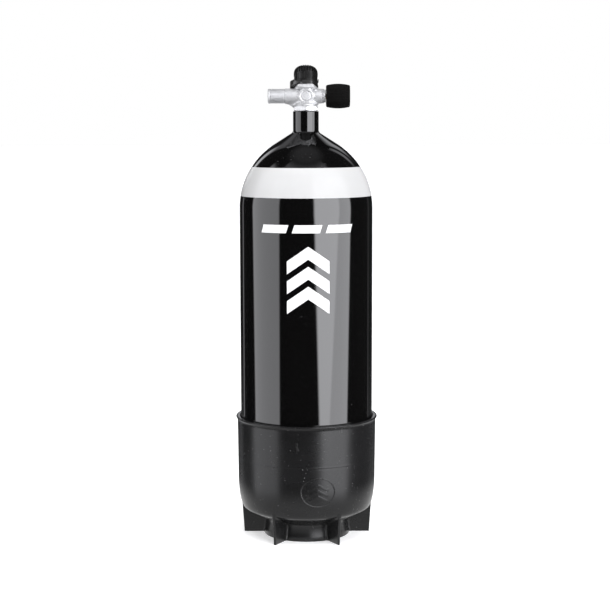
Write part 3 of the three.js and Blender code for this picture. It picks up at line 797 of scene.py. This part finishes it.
def boot_outline():
    """The whole section of the boot, from the drain hole round the rim and the foot ring and back."""
    inside = bottom_curve(BOOT_CLEAR, DRAIN_R, 12, 14)
    under = bottom_curve(BOOT_CLEAR + BOOT_WALL, DRAIN_R, 12, 14)
    under = [p for p in under if p[0] < FOOT_INNER_R - 5]
    inner_r = TANK_R + BOOT_CLEAR + 0.3
    lip = [(0, -2.6), (0.1, -0.6), (0.9, 0), (2, 0)]
    lip = bezier(*[(inner_r + out, BOOT_TOP + rise) for out, rise in lip], 4)
    bead = arc(BEAD_R - BEAD, BOOT_TOP - BEAD, BEAD, math.pi / 2, -math.pi * 0.42, 8)
    rim = [(inner_r, BOOT_TOP - 30)] + lip + bead
    foot = [(0.8, 0.0), (0, 0.8), (-3, 24.0), (-4.2, 26.6)]
    foot = [(FOOT_INNER_R + out, z) for out, z in foot]
    return inside + rim + boot_outside() + foot + under[::-1]


def distance_to_line(points, line):
    """The distance in a plane from each point to the nearest stretch of a line of points."""
    best = np.full(len(points), 1e9)
    for a, b in zip(line[:-1], line[1:]):
        a, b = np.array(a), np.array(b)
        along = b - a
        t = np.clip(((points - a) @ along) / max(along @ along, 1e-9), 0, 1)
        best = np.minimum(best, np.linalg.norm(points - a - t[:, None] * along, axis=1))
    return best


FIN_FOOT_R = 97.5
FIN_TOP_R = 100.9
FIN_FILLET = 3.2
FIN_EDGE = 0.9
FIN_SPREAD = 0.35
FIN_HEIGHT = 45
RING_TOP_Z = 24


def fin_top(r):
    """The height of a fin's buried top edge, just inside the shell."""
    return np.interp(r, [61, 71, 93.5, 97.2, 100.6], [29.5, 31.5, 43.0, 46.0, 48.5])


def boot_fin(turn, outside):
    """One fin under the boot. It thickens towards the shell, and its free edges are rounded."""
    u = 1 - (1 - np.linspace(0, 1, 44) ** 0.9) ** 1.25
    grid_u, grid_v = np.meshgrid(u, np.linspace(0, 1, 40), indexing="ij")
    outer = FIN_FOOT_R + (FIN_TOP_R - FIN_FOOT_R) * grid_v
    inner = FOOT_INNER_R + 1.8 - 3 * grid_v
    r = inner + (outer - inner) * grid_u
    z = fin_top(r) * (1 - (1 - grid_v) ** 1.15)
    under_r, under_z = np.array([p for p in outside if ROOT_END[1] <= p[1] <= HAUNCH_END[1] + 0.1][::-1]).T
    ring_r, ring_z = np.array([p for p in outside if p[1] <= RING_TOP_Z][::-1]).T
    buried = (z > np.interp(r, under_r, under_z)) | (r < np.interp(z, ring_z, ring_r, right=0))
    reach = distance_to_line(np.stack([r.ravel(), z.ravel()], -1), outside).reshape(r.shape)
    reach = np.where(buried, -reach, reach)
    flare = np.clip(FIN_FILLET - reach, 0, FIN_FILLET * 1.4) ** 2 / (2 * FIN_FILLET)
    shrink = np.clip(FIN_EDGE - np.minimum(outer - r, z + 0.02), 0, FIN_EDGE)
    rounding = FIN_EDGE - np.sqrt(np.maximum(FIN_EDGE**2 - shrink**2, 0))
    half = FIN_THICK / 2 + FIN_SPREAD * z / FIN_HEIGHT + flare - rounding
    front, back = (np.stack([r, side * half, z], -1) for side in (-1, 1))
    return plate("fin", front, back, Matrix.Rotation(turn, 4, "Z"))


BADGE_X = 17.0
BADGE_Z = 85.5
BADGE_HALF = 27.0
BADGE_SQUASH = 0.86
BADGE_BEND_R = 105.0
BADGE_RING_R = 25.5
BADGE_STEPS = 150


def badge_height(x, z):
    """How far the boot's round badge stands out: a raised ring round three small chevrons."""
    r = np.hypot(x, z)
    ring = np.clip(1 - np.abs(r - BADGE_RING_R) / 0.9, 0, 1)
    mark = np.zeros_like(r)
    for foot in (-13.0, -3.0, 7.0):
        line = z - foot + np.abs(x) * 0.62 - 6
        mark = np.maximum(mark, np.clip(2.9 - np.abs(line), 0, 1) * np.clip(15.5 - np.abs(x), 0, 1))
    mark = mark * np.clip(22 - r, 0, 1)
    return np.minimum(ring * 0.55, 0.55) + mark * 0.7


def boot_badge():
    """The raised badge on the boot's front, a thin closed plate that follows the haunch."""
    outside = np.array(boot_outside())
    order = np.argsort(outside[:, 1])
    ticks = np.linspace(-BADGE_HALF, BADGE_HALF, BADGE_STEPS)
    x, z = np.meshgrid(ticks, ticks, indexing="ij")
    world_z = BADGE_Z + z * BADGE_SQUASH
    radius = np.interp(world_z, outside[order, 1], outside[order, 0])
    angle = (BADGE_X + x) / BADGE_BEND_R

    def sheet(depth):
        reach = radius + depth
        return np.stack([reach * np.sin(angle), -reach * np.cos(angle), world_z], -1)

    return plate("boot_badge", sheet(badge_height(x, z) - 0.05), sheet(-1.2))


def boot():
    shell = revolve("boot_shell", boot_outline(), 240)
    outside = boot_outside()
    fins = [boot_fin(i * 2 * math.pi / FIN_COUNT, outside) for i in range(FIN_COUNT)]
    boolean(shell, "UNION", *fins)
    return smooth_by_angle(shell, 40)


finish_piece(boot(), "cylinder", BOOT, "boot_plastic", "tank_boot")
finish_piece(boot_badge(), "cylinder", BOOT, "boot_plastic")


# ---- valve body

BASE_BOTTOM = NECK_TOP + 0.35 - VALVE_Z
STEM_BOTTOM = BODY_LOW[2] - VALVE_Z
LEFT_END = BODY_LOW[0]
RIGHT_END = GLAND_LOW[0] + 9.5
BASE_HEIGHT = 8.4
BASE_TOP = BASE_BOTTOM + BASE_HEIGHT
WAIST_R = 18.9
WAIST_TOP = -6.8
WAIST_TOP_R = 12.8
GLAND_BORE = 8.6
CHAMBER_R = 6.2
CHAMBER_END = 11.0
TUBE_SEAT_R = 5.2
STEM_BORE_R = 4.0
VALVE_CELL = 0.45


def web_field(p):
    """The cast web that fills the corner between the left arm and the waist."""
    slope = (p[:, 0] + 31) * 0.62 + (p[:, 2] + 9) * 0.78
    hollow = np.hypot(p[:, 0] + 36, p[:, 2] + 34) - 23.5
    sides = np.abs(p[:, 1]) - 4.4
    field = smooth_max(sides, -slope - 1.0, 2.5)
    field = smooth_max(field, -hollow, 1.5)
    field = smooth_max(field, -19.0 - p[:, 2], 2.0)
    field = smooth_max(field, p[:, 0] + 6, 1.0)
    return smooth_max(field, p[:, 2] + 4, 1.0)


def valve_field(p):
    """The forging in the valve's frame: tube, waist, base, outlet, pad and web, less the bores."""
    along_x = in_frame(p, TURN_X)
    outlet = in_frame(p, TURN_OUTLET)
    front = in_frame(p, TURN_FRONT)
    tube = rod_field(along_x, LEFT_R, STUB_START + 2.2, 9, 0.5)
    tube = smooth_min(tube, rod_field(along_x, RIGHT_R, 0, RIGHT_END, 0.4), 1.2)
    neck = rod_field(along_x, LEFT_R - 1.1, STUB_START - 2, STUB_START + 4, 0.3)
    tube = smooth_min(tube, neck, 0.5)
    waist = cone_field(p, BASE_TOP + 0.5, WAIST_R, WAIST_TOP, WAIST_TOP_R, 1.6)
    body = smooth_min(tube, waist, 4.0)
    body = smooth_min(body, web_field(p), 2.5)
    root = cone_field(outlet, -3, 9, FLANGE_BOTTOM + 0.5, 13.6)
    body = smooth_min(body, root, 2.0)
    flange = hex_field(outlet, FLANGE_AF, FLANGE_BOTTOM, FLANGE_TOP, 0.7, corner_on_x=True)
    chamfer = cone_field(outlet, FLANGE_BOTTOM - 4, FLANGE_AF / 2 - 6.6, SOCKET_FLOOR + 6, FLANGE_AF / 2 + 20)
    body = smooth_min(body, smooth_max(flange, chamfer, 0.6), 0.7)
    boss = rod_field(outlet, BOSS_R, FLANGE_TOP - 2, BOSS_END, 0.8)
    body = smooth_min(body, boss, 0.6)
    pad = hex_field(front, PAD_AF, 0, PAD_FRONT, 0.8, corner_on_x=True)
    pad_edge = cone_field(front, 0, PAD_AF / 2 + PAD_FRONT + 0.6, PAD_FRONT + 6, PAD_AF / 2 - 5.4)
    body = smooth_min(body, smooth_max(pad, pad_edge, 0.6), 1.4)
    body = cut_out(body, rod_field(front, 8.0, PAD_FRONT - 0.8, PAD_FRONT + 4, 0.25), 0.35)
    button = rod_field(front, 6.9, PAD_FRONT - 3, PAD_FRONT - 0.3, 0.5)
    body = smooth_min(body, button, 0.35)
    step = rod_field(p, 17.0, BASE_TOP - 0.4, BASE_TOP + 1.2, 0.3)
    body = smooth_min(body, step, 0.4)
    base = hex_field(p, BASE_AF, BASE_BOTTOM, BASE_TOP, 0.7)
    top_bevel = cone_field(p, BASE_BOTTOM - 9, 35, BASE_TOP + 3, 14.2)
    low_bevel = cone_field(p, BASE_BOTTOM - 3, 14, BASE_BOTTOM + 12, 36)
    base = smooth_max(smooth_max(base, top_bevel, 0.6), low_bevel, 0.6)
    body = smooth_min(body, base, 0.5)
    body = smooth_min(body, rod_field(p, STEM_R, STEM_BOTTOM, BASE_BOTTOM + 3, 0.8), 0.5)
    bores = [
        (along_x, GLAND_BORE, CHAMBER_END, RIGHT_END + 5, 0.4),
        (along_x, CHAMBER_R, -2, CHAMBER_END + 2, 0.4),
        (outlet, SOCKET_R, SOCKET_FLOOR, BOSS_END + 4, 0.5),
        (p, TUBE_SEAT_R, STEM_BOTTOM - 2, STEM_BOTTOM + 10, 0.5),
        (p, STEM_BORE_R, STEM_BOTTOM, -14, 0.4),
    ]
    for where, radius, low, high, soft in bores:
        body = cut_out(body, rod_field(where, radius, low, high, 0.3), soft)
    return body


def valve_body():
    low = (STUB_START - 4, -22.5, STEM_BOTTOM - 2)
    high = (RIGHT_END + 2, 30, BOSS_END + 6)
    return field_mesh("valve_forging", valve_field, low, high, VALVE_CELL, AT_VALVE)


THREAD_PITCH = 1.5
THREAD_DEPTH = 0.75


def thread_radius(radius, height, angle):
    """Draws a helical thread on the stub's outside, fading out at both ends."""
    phase = height / THREAD_PITCH - angle / (2 * math.pi)
    wave = np.abs((phase % 1) * 2 - 1)
    ridge = np.clip(wave * 1.6 - 0.3, 0, 1)
    fade = np.clip((height - (LEFT_END + 2.6)) / 1.2, 0, 1) * np.clip((STUB_START + 0.4 - height) / 1.4, 0, 1)
    outside = radius > STUB_R - 0.05
    return radius - outside * fade * THREAD_DEPTH * (1 - ridge)


def valve_stub():
    """The threaded extension stub, with a bright rounded end and the port's bore."""
    end = rounded([(PORT_R, LEFT_END, 0.5), (STUB_R, LEFT_END, 2.0), (STUB_R, STUB_START, 0)], 6)
    side = [(STUB_R, z) for z in np.arange(LEFT_END + 2.4, STUB_START, THREAD_PITCH / 8)]
    wall = end[:-1] + side
    tail = [(STUB_R, STUB_START + 0.3), (LEFT_R - 1.2, STUB_START + 0.6), (LEFT_R - 1.2, STUB_START + 3)]
    bore = [(2.4, STUB_START + 3), (2.4, -44), (PORT_R, -44)]
    return revolve("extension_stub", wall + tail + bore, 128, ALONG_X, thread_radius, 50)


finish_piece(valve_body(), "cylinder", CHROME, "valve_chrome", "valve_body")
finish_piece(valve_stub(), "cylinder", TURNED_CHROME, "valve_chrome")


KEY_FLATS = 5


def port_plug():
    """The recessed blanking plug with its hexagonal key socket."""
    outer, inner = PLUG_LOW[0], PLUG_HIGH[0]
    radius = (PLUG_HIGH[1] - PLUG_LOW[1]) / 2
    outline = rounded([(0, inner, 0), (radius, inner, 0.6), (radius, outer, 0.7), (0, outer, 0)])
    blank = revolve("port_plug_turned", outline, 96, ALONG_X)
    key_r = KEY_FLATS / math.sqrt(3)
    key = revolve("key", [(0, outer - 1), (key_r, outer - 1), (key_r, outer + 4), (0, outer + 5)], 6, ALONG_X)
    boolean(blank, "DIFFERENCE", key)
    bevel_edges(blank, 0.25)
    apply_modifiers(blank)
    return smooth_by_angle(blank, 35)


finish_piece(port_plug(), "cylinder", TURNED_CHROME, "valve_chrome", "port_plug")


SPINDLE_BORE_R = 4.35
GLAND_SHANK_R = 8.2
GLAND_SEAL_R = 7.1
GLAND_FLATS = 19.2


def gland_nut():
    """The bonnet between the right arm and the knob, with a turned groove and two wrench flats."""
    start = RIGHT_END + 0.35
    face, end = GLAND_LOW[0], GLAND_HIGH[0]
    radius = RIGHT_R - 0.15
    outline = rounded(
        [(SPINDLE_BORE_R, face, 0.3), (GLAND_SHANK_R, face, 0.5), (GLAND_SHANK_R, start - 3.7, 0)]
        + [(GLAND_SEAL_R, start - 3.7, 0), (GLAND_SEAL_R, start, 0)]
        + [(radius, start, 0.5), (radius, start + 1.6, 0.2)]
        + [(radius - 0.5, start + 1.9, 0.1), (radius - 0.5, start + 2.4, 0.1)]
        + [(radius, start + 2.7, 0.2), (radius, end, 0.8), (SPINDLE_BORE_R, end, 0.4)]
    )
    blank = revolve("gland_nut_turned", outline, 128, ALONG_X)
    size = np.array([3, 30, 4])
    flats = []
    for side in (-1, 1):
        maker = bmesh.new()
        bmesh.ops.create_cube(maker, size=1)
        mesh = bpy.data.meshes.new("flat")
        maker.to_mesh(mesh)
        maker.free()
        flat = add_object("flat", mesh)
        flat.scale = size * MM
        flat.location = ((end - 1) * MM, 0, (VALVE_Z + side * (GLAND_FLATS + size[2]) / 2) * MM)
        flats.append(flat)
    boolean(blank, "DIFFERENCE", *flats)
    return smooth_by_angle(blank, 35)


finish_piece(gland_nut(), "cylinder", TURNED_CHROME, "valve_chrome", "gland_nut")


# ---- knob

GRIP_START = GRIP_LOW[0]
GRIP_END = GRIP_HIGH[0]
GRIP_R = 18.6
GRIP_BULGE = 2.3
GRIP_RIBS = 48
GRIP_CORNER = 2.4
RIB_DEPTH = 0.5
CORE_R = 13.8
SQUARE_HOLE_R = 4.1
RECESS_R = 7.0
RECESS_FLOOR = 52


def grip_side_radius(x):
    middle = (GRIP_START + GRIP_END) / 2
    half = (GRIP_END - GRIP_START) / 2
    return GRIP_R - GRIP_BULGE * ((x - middle) / half) ** 2


def rib_radius(radius, height, angle):
    """Fine ribs along the barrel, fading at both rounded ends."""
    ribs = np.clip(np.cos(angle * GRIP_RIBS) * 0.75 + 0.5, 0, 1)
    fade = between(height, GRIP_START + 1.6, GRIP_END - 1.6, 2.2)
    outside = radius > CORE_R + 2
    return radius - outside * fade * RIB_DEPTH * (1 - ribs)


def knob_grip():
    low, high = GRIP_START + GRIP_CORNER, GRIP_END - GRIP_CORNER
    inner = CORE_R + 0.35
    side = [(grip_side_radius(x), x) for x in np.linspace(low, high, 26)]
    corner_r = grip_side_radius(low) - GRIP_CORNER
    start = arc(corner_r, low, GRIP_CORNER, -math.pi / 2, -0.08, 6)
    end = arc(corner_r, high, GRIP_CORNER, 0.08, math.pi / 2, 6)
    outline = [(inner, GRIP_START)] + start + side[1:-1] + end + [(inner, GRIP_END)]
    return revolve("knob_barrel", outline, 480, ALONG_X, rib_radius, 60)


def knob_core():
    """The stiff core that carries the spindle's square, with the recess for the spring and nut."""
    start, end = GRIP_START + 0.6, GRIP_END - 0.6
    outline = rounded(
        [(SQUARE_HOLE_R, start, 0.3), (CORE_R, start, 0.4), (CORE_R, end, 1.2)]
        + [(11.4, end, 0.4), (11.0, end - 0.7, 0.3), (8.4, end - 0.7, 0.3), (8.0, end, 0.3)]
        + [(RECESS_R, end, 0.3), (RECESS_R, RECESS_FLOOR, 0.3), (SQUARE_HOLE_R, RECESS_FLOOR, 0.2)],
        3,
    )
    return revolve("knob_hub", outline, 96, ALONG_X)


finish_piece(knob_grip(), "knob", GRIP, "grip_rubber", "knob_grip")
finish_piece(knob_core(), "knob", CORE, "knob_plastic", "knob_core")


# ---- outlet cap

PANEL_CENTRE = math.radians(-114)
PANEL_HALF = math.radians(17)
PANEL_LOW = 21.0
PANEL_DEPTH = 0.65
TOOTH_DEPTH = 1.75
CROWN_EXTRA = 0.9
CAP_ROOF = 33
STOPPER_END = 13


def cap_radius(radius, height, angle):
    """Teeth round the rim, deeper at the crown, and a shallow panel in the skirt's front left."""
    tooth = np.clip(np.cos(angle * CAP_TEETH) * 1.3 + 0.5, 0, 1)
    rim = np.clip((height - CAP_RIM_START - 0.2) / 0.8, 0, 1) * np.clip((radius - 13.5) / 1.5, 0, 1)
    crown = np.clip((height - CAP_TOP + 4.0) / 2.0, 0, 1)
    teeth = rim * (TOOTH_DEPTH + CROWN_EXTRA * crown) * (1 - tooth)
    away = np.abs((angle - PANEL_CENTRE + math.pi) % (2 * math.pi) - math.pi)
    side = np.clip((PANEL_HALF - away) / 0.03, 0, 1)
    tall = between(height, PANEL_LOW, CAP_RIM_START - 1.4, 0.8)
    skirt = (radius > CAP_SKIRT_R - 0.3) & (height < CAP_RIM_START)
    return radius - teeth - skirt * side * tall * PANEL_DEPTH


def outlet_cap():
    stub_r = SOCKET_R - 0.45
    skirt = [(CAP_SKIRT_R, z, 0) for z in np.linspace(CAP_BOTTOM + 1.4, CAP_RIM_START - 0.8, 34)]
    rim = [(CAP_RIM_R, CAP_RIM_START + rise, soft) for rise, soft in ((0.2, 0.3), (0.8, 0), (1.3, 0))]
    rim += [(CAP_RIM_R + 0.1, CAP_RIM_START + 4, 0), (CAP_RIM_R - 0.1, CAP_TOP - 4.6, 0)]
    rim += [(CAP_RIM_R - 0.7, CAP_TOP - 2.6, 0), (CAP_RIM_R - 1.8, CAP_TOP - 0.9, 0)]
    rim += [(CAP_RIM_R - 3.2, CAP_TOP, 0), (CAP_RIM_R - 4.6, CAP_TOP + 0.05, 0.4)]
    rim += [(CAP_RIM_R - 5.4, CAP_TOP - 0.9, 0.4), (5.0, CAP_TOP - 0.9, 0.3)]
    rim += [(4.4, CAP_TOP - 0.4, 0.3), (0, CAP_TOP - 0.3, 0)]
    inside = [(0, CAP_ROOF, 0), (8, CAP_ROOF, 0.4), (8, STOPPER_END, 0.3)]
    inside += [(stub_r, STOPPER_END, 0.5), (stub_r, CAP_ROOF, 0.3), (BOSS_R + 0.4, CAP_ROOF, 0.3)]
    inside += [(BOSS_R + 0.4, CAP_BOTTOM, 0.3), (CAP_SKIRT_R, CAP_BOTTOM, 0.6)]
    outline = rounded(inside + skirt + [(CAP_SKIRT_R, CAP_RIM_START + 0.2, 0.15)] + rim, 3)
    return revolve("cap_moulding", outline, CAP_TEETH * 16, ALONG_OUTLET, cap_radius, 45)


finish_piece(outlet_cap(), "cap", CAP, "cap_plastic", "outlet_cap")

STRAP_LOW = FLANGE_TOP + 0.3
STRAP_HIGH = CAP_BOTTOM - 0.45
STRAP_RING_R = 19.0
STRAP_COLLAR_R = 19.6
STRAP_BOX = (-26, -22, STRAP_LOW - 2), (22, 22, 32)
STRAP_CELL = 0.4


def box_field(p, centre, half, edge):
    q = np.abs(p - np.array(centre)) - np.array(half) + edge
    return np.minimum(q.max(1), 0) + np.linalg.norm(np.maximum(q, 0), axis=1) - edge


# The lug, round from the back left to the front left: azimuth, height of its top, and outer radius.
LUG_AZIMUTHS = (178, 192, 208, 222, 238, 252)
LUG_TOPS = (22.6, 23.4, 21.8, 19.6, 17.6, 16.6)
LUG_RADII = (23.4, 24.6, 24.6, 23.8, 22.4, 20.8)
LUG_NOTCH = 221
LINK_AZIMUTH = math.radians(174)


def strap_field(p):
    """The strap in the outlet's frame: a ring on the boss, a lug at the left, a link and an open collar."""
    radius = np.hypot(p[:, 0], p[:, 1])
    azimuth = np.degrees(np.arctan2(p[:, 1], p[:, 0])) % 360
    ring = rod_field(p, STRAP_RING_R, STRAP_LOW, STRAP_HIGH, 1.2)
    ring = smooth_max(ring, BOSS_R + 0.3 - radius, 0.5)
    top = np.interp(azimuth, LUG_AZIMUTHS, LUG_TOPS)
    outer = np.interp(azimuth, LUG_AZIMUTHS, LUG_RADII)
    first, last = LUG_AZIMUTHS[0], LUG_AZIMUTHS[-1]
    ends = np.radians(np.abs(azimuth - (first + last) / 2) - (last - first) / 2) * radius
    lug = smooth_max(radius - outer, p[:, 2] - top, 2.2)
    lug = smooth_max(lug, smooth_max(ends, STRAP_LOW + 0.4 - p[:, 2], 1.6), 1.4)
    notch = np.abs(azimuth - LUG_NOTCH) * math.radians(1) * radius - 0.55
    notch = np.maximum(notch, outer - 0.9 - radius)
    lug = cut_out(lug, np.maximum(notch, STRAP_HIGH - 2 - p[:, 2]), 0.7)
    lug = smooth_max(lug, CAP_SKIRT_R + 0.35 - radius, 0.4)
    link = in_frame(p, Matrix.Rotation(LINK_AZIMUTH, 4, "Z"))
    link = box_field(link, (19.4, 0, 23.5), (0.9, 2.6, 4.2), 0.7)
    strap = smooth_min(smooth_min(ring, lug, 1.0), link, 0.8)
    middle = COLLAR_START + COLLAR_HEIGHT / 2
    collar = rod_field(p, STRAP_COLLAR_R, middle - 1.5, middle + 1.5, 0.7)
    collar = smooth_max(collar, CAP_SKIRT_R + 0.25 - radius, 0.4)
    collar = cut_out(collar, box_field(p, (0, -20, middle), (18.8, 18, 6), 0.5), 0.6)
    return smooth_min(strap, collar, 0.5)


strap = field_mesh("strap_moulding", strap_field, *STRAP_BOX, STRAP_CELL, ALONG_OUTLET)
strap.data.materials.append(STRAP)
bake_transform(strap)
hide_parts("cap_strap", "strap_collar")


# ---- CAD nodes that stay

KEPT = [
    (SEAL, ["neck_o_ring", "port_plug_o_ring", "gland_o_ring", "outlet_cap_o_ring"]),
    (SEAL, ["spindle_o_ring_inner", "spindle_o_ring_outer"]),
    (BRASS, ["dip_tube", "spindle", "seat_carrier"]),
    (NYLON, ["thrust_washer", "seat_insert"]),
    (STEEL, ["knob_spring", "knob_washer", "knob_nut"]),
]
for material, names in KEPT:
    for name in names:
        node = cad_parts[name]
        node.data.materials.clear()
        node.data.materials.append(material)
for name in ("knob_nut", "knob_washer", "spindle", "dip_tube"):
    bevel_edges(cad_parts[name], 0.2)


# ---- stage, light and camera

FLOOR_HALF = 40.0
NEAR_FLOOR_R = 0.42
NEAR_FLOOR_FULL = 0.22
NEAR_FLOOR_Z = -0.0005
NEAR_FLOOR_LEVEL = 1.2


def flat_face(name, outline, material):
    """A single face. Its outline is in metres."""
    mesh = bpy.data.meshes.new(name)
    mesh.from_pydata(outline, [], [tuple(range(len(outline)))])
    mesh.materials.append(material)
    return add_object(name, mesh)


def floor():
    n = Surface("pale_floor")
    n.set(Base_Color=grey(0.8), Roughness=0.9, Specular_IOR_Level=0.1)
    n.set(Emission_Color=grey(1.0), Emission_Strength=0.5)
    corners = [(x * FLOOR_HALF, y * FLOOR_HALF, 0) for x, y in ((-1, -1), (1, -1), (1, 1), (-1, 1))]
    piece = flat_face("floor", corners, n.material)
    piece.visible_glossy = False


def near_floor():
    """The lit floor close to the boot. Only rays from shiny surfaces see it."""
    n = Surface("near_floor_glow")
    reach = n.add("ShaderNodeVectorMath", {0: n.place()}, operation="LENGTH")
    share = n.ramp(reach.outputs["Value"], NEAR_FLOOR_FULL, NEAR_FLOOR_R, 1.0, 0.0)
    n.set(Base_Color=grey(0.0), Specular_IOR_Level=0.0, Alpha=share)
    n.set(Emission_Color=grey(1.0), Emission_Strength=NEAR_FLOOR_LEVEL)
    turns = np.linspace(0, 2 * math.pi, 64, endpoint=False)
    rim = [(NEAR_FLOOR_R * math.cos(t), NEAR_FLOOR_R * math.sin(t), NEAR_FLOOR_Z) for t in turns]
    piece = flat_face("near_floor", rim, n.material)
    piece.visible_camera = False
    piece.visible_diffuse = False
    piece.visible_shadow = False


# Soft boxes and strips of light: azimuth of the left edge at eye level and its lean, the same for the
# right edge, lowest and highest elevation, and level. The lean is in degrees of azimuth for each degree
# of elevation, and elevations past the ends of LEAN_RANGE count as those ends.
SOFT_BOXES = [
    (-106.9, -0.59, -47.0, 0.05, -24, 46, 2.9),
    (10.1, -1.06, 85.6, 0.95, -24, 46, 5.2),
    (12, -1.06, 66, 2.3, -14, 46, 2.0),
    (-144, 0, -139, 0, -30, 20, 0.5),
    (136, 0, 139, 0, -30, 20, 0.25),
    (-155, 0, -146, 0, 8, 34, 1.6),
    (-159, 0, -145, 0, 36, 54, 0.4),
    (152, 0, 161, 0, 24, 42, 1.1),
    (138, 0, 145, 0, 26, 50, 0.85),
    (-70, 0, 70, 0, 50, 66, 0.8),
]
LEAN_RANGE = (-16.0, -3.0)
SIDE_SOFTNESS = 2.0
HEIGHT_SOFTNESS = 7.0
BACKDROP_AZIMUTH = (172, 179)
BACKDROP_HEIGHT = (-40, 55, 12)
BACKDROP_LEVEL = 1.0
OVERHEAD_HEIGHT = (62, 80)
OVERHEAD_LEVEL = 0.25
BOUNCE_AZIMUTH = (60, 150)
BOUNCE_LIFT = 17.0
BOUNCE_DROP = (24, 52)
BOUNCE_LEVEL = 1.0
ROOM_LEVEL = 0.02
# Light that falls on matte surfaces: this share of the room's light, and an even fill.
DIFFUSE_SHARE = 0.19
MATTE_FILL = 0.22
ROOM_COLOUR = (0.98, 0.985, 1.02, 1)


def studio():
    """The room's light by direction, as azimuth from the front and elevation, in degrees.
    Soft boxes, a backdrop, light from overhead and light off the floor. The camera sees plain white."""
    world = bpy.data.worlds.new("studio")
    bpy.context.scene.world = world
    world.use_nodes = True
    world.node_tree.nodes.clear()
    n = Nodes(world.node_tree)

    def step(value, low, high):
        wanted = {"Value": value, "From Min": low, "From Max": high}
        return n.add("ShaderNodeMapRange", wanted, interpolation_type="SMOOTHSTEP").outputs["Result"]

    def window(value, low, high, soft):
        return n.math("SUBTRACT", step(value, low - soft, low + soft), step(value, high - soft, high + soft))

    direction = n.add("ShaderNodeTexCoord").outputs["Generated"]
    x, y, z = n.add("ShaderNodeSeparateXYZ", {"Vector": direction}).outputs
    azimuth = n.times(n.math("ARCTAN2", x, n.times(y, -1.0)), 180 / math.pi)
    elevation = n.times(n.math("ARCSINE", z), 180 / math.pi)
    low_lean, high_lean = LEAN_RANGE
    lean_at = n.add("ShaderNodeClamp", {"Value": elevation, "Min": low_lean, "Max": high_lean}).outputs[0]

    def past(at_level, lean):
        """How far the direction is past a leaning edge, from 0 to 1."""
        limit = n.plus(n.times(lean_at, lean), at_level)
        return step(n.math("SUBTRACT", azimuth, limit), -SIDE_SOFTNESS, SIDE_SOFTNESS)

    away = n.math("ABSOLUTE", azimuth)
    back = n.times(step(away, *BACKDROP_AZIMUTH), BACKDROP_LEVEL)
    light = n.times(back, window(elevation, *BACKDROP_HEIGHT))
    for left, left_lean, right, right_lean, low, high, level in SOFT_BOXES:
        wide = n.math("SUBTRACT", past(left, left_lean), past(right, right_lean))
        tall = window(elevation, low, high, HEIGHT_SOFTNESS)
        light = n.plus(light, n.times(n.times(wide, tall), level))
    light = n.plus(light, n.times(step(elevation, *OVERHEAD_HEIGHT), OVERHEAD_LEVEL))
    lift = n.times(step(away, *BOUNCE_AZIMUTH), BOUNCE_LIFT)
    bounce = step(n.math("SUBTRACT", lift, elevation), *BOUNCE_DROP)
    light = n.plus(n.plus(light, n.times(bounce, BOUNCE_LEVEL)), ROOM_LEVEL)
    path = n.add("ShaderNodeLightPath").outputs
    matte = path["Is Diffuse Ray"]
    share = n.math("SUBTRACT", 1.0, n.times(matte, 1 - DIFFUSE_SHARE))
    light = n.plus(n.times(light, share), n.times(matte, MATTE_FILL))
    lit = n.add("ShaderNodeBackground", {"Color": ROOM_COLOUR, "Strength": light})
    pale = n.add("ShaderNodeBackground", {"Color": (1, 1, 1, 1), "Strength": 1.0})
    mixed = n.add("ShaderNodeMixShader", {0: path["Is Camera Ray"], 1: lit.outputs[0], 2: pale.outputs[0]})
    n.add("ShaderNodeOutputWorld", {"Surface": mixed.outputs[0]})


LAMP_SIZE = 2.6
LAMP_WATTS = 62
LAMP_PLACE = (0, -0.2, 2.6)


def overhead_light():
    """A broad soft light above, which the gloss paint doesn't mirror."""
    data = bpy.data.lights.new("overhead", "AREA")
    data.shape = "DISK"
    data.size = LAMP_SIZE
    data.energy = LAMP_WATTS
    light = add_object("overhead", data)
    light.location = LAMP_PLACE
    light.visible_glossy = False


CAMERA_PLACE = (-0.00196, -2.3893, 0.6363)
CAMERA_PITCH = math.radians(6.86)
CAMERA_ROLL = math.radians(-0.13)
FOCAL_PIXELS = 1559.4
IMAGE_SIDE = 610
SENSOR = 36.0
VERTICAL_SHIFT = 5.1 / IMAGE_SIDE


def camera():
    data = bpy.data.cameras.new("camera")
    data.sensor_width = SENSOR
    data.lens = FOCAL_PIXELS / IMAGE_SIDE * SENSOR
    data.shift_y = VERTICAL_SHIFT
    data.dof.use_dof = False
    eye = add_object("camera", data)
    turn = Matrix.Rotation(math.pi / 2 - CAMERA_PITCH, 4, "X") @ Matrix.Rotation(CAMERA_ROLL, 4, "Z")
    eye.matrix_world = Matrix.Translation(CAMERA_PLACE) @ turn
    bpy.context.scene.camera = eye


floor()
near_floor()
studio()
overhead_light()
camera()

scene = bpy.context.scene
scene.view_settings.view_transform = "Standard"
scene.view_settings.look = "None"
scene.view_settings.exposure = 0.0
scene.view_settings.gamma = 1.0
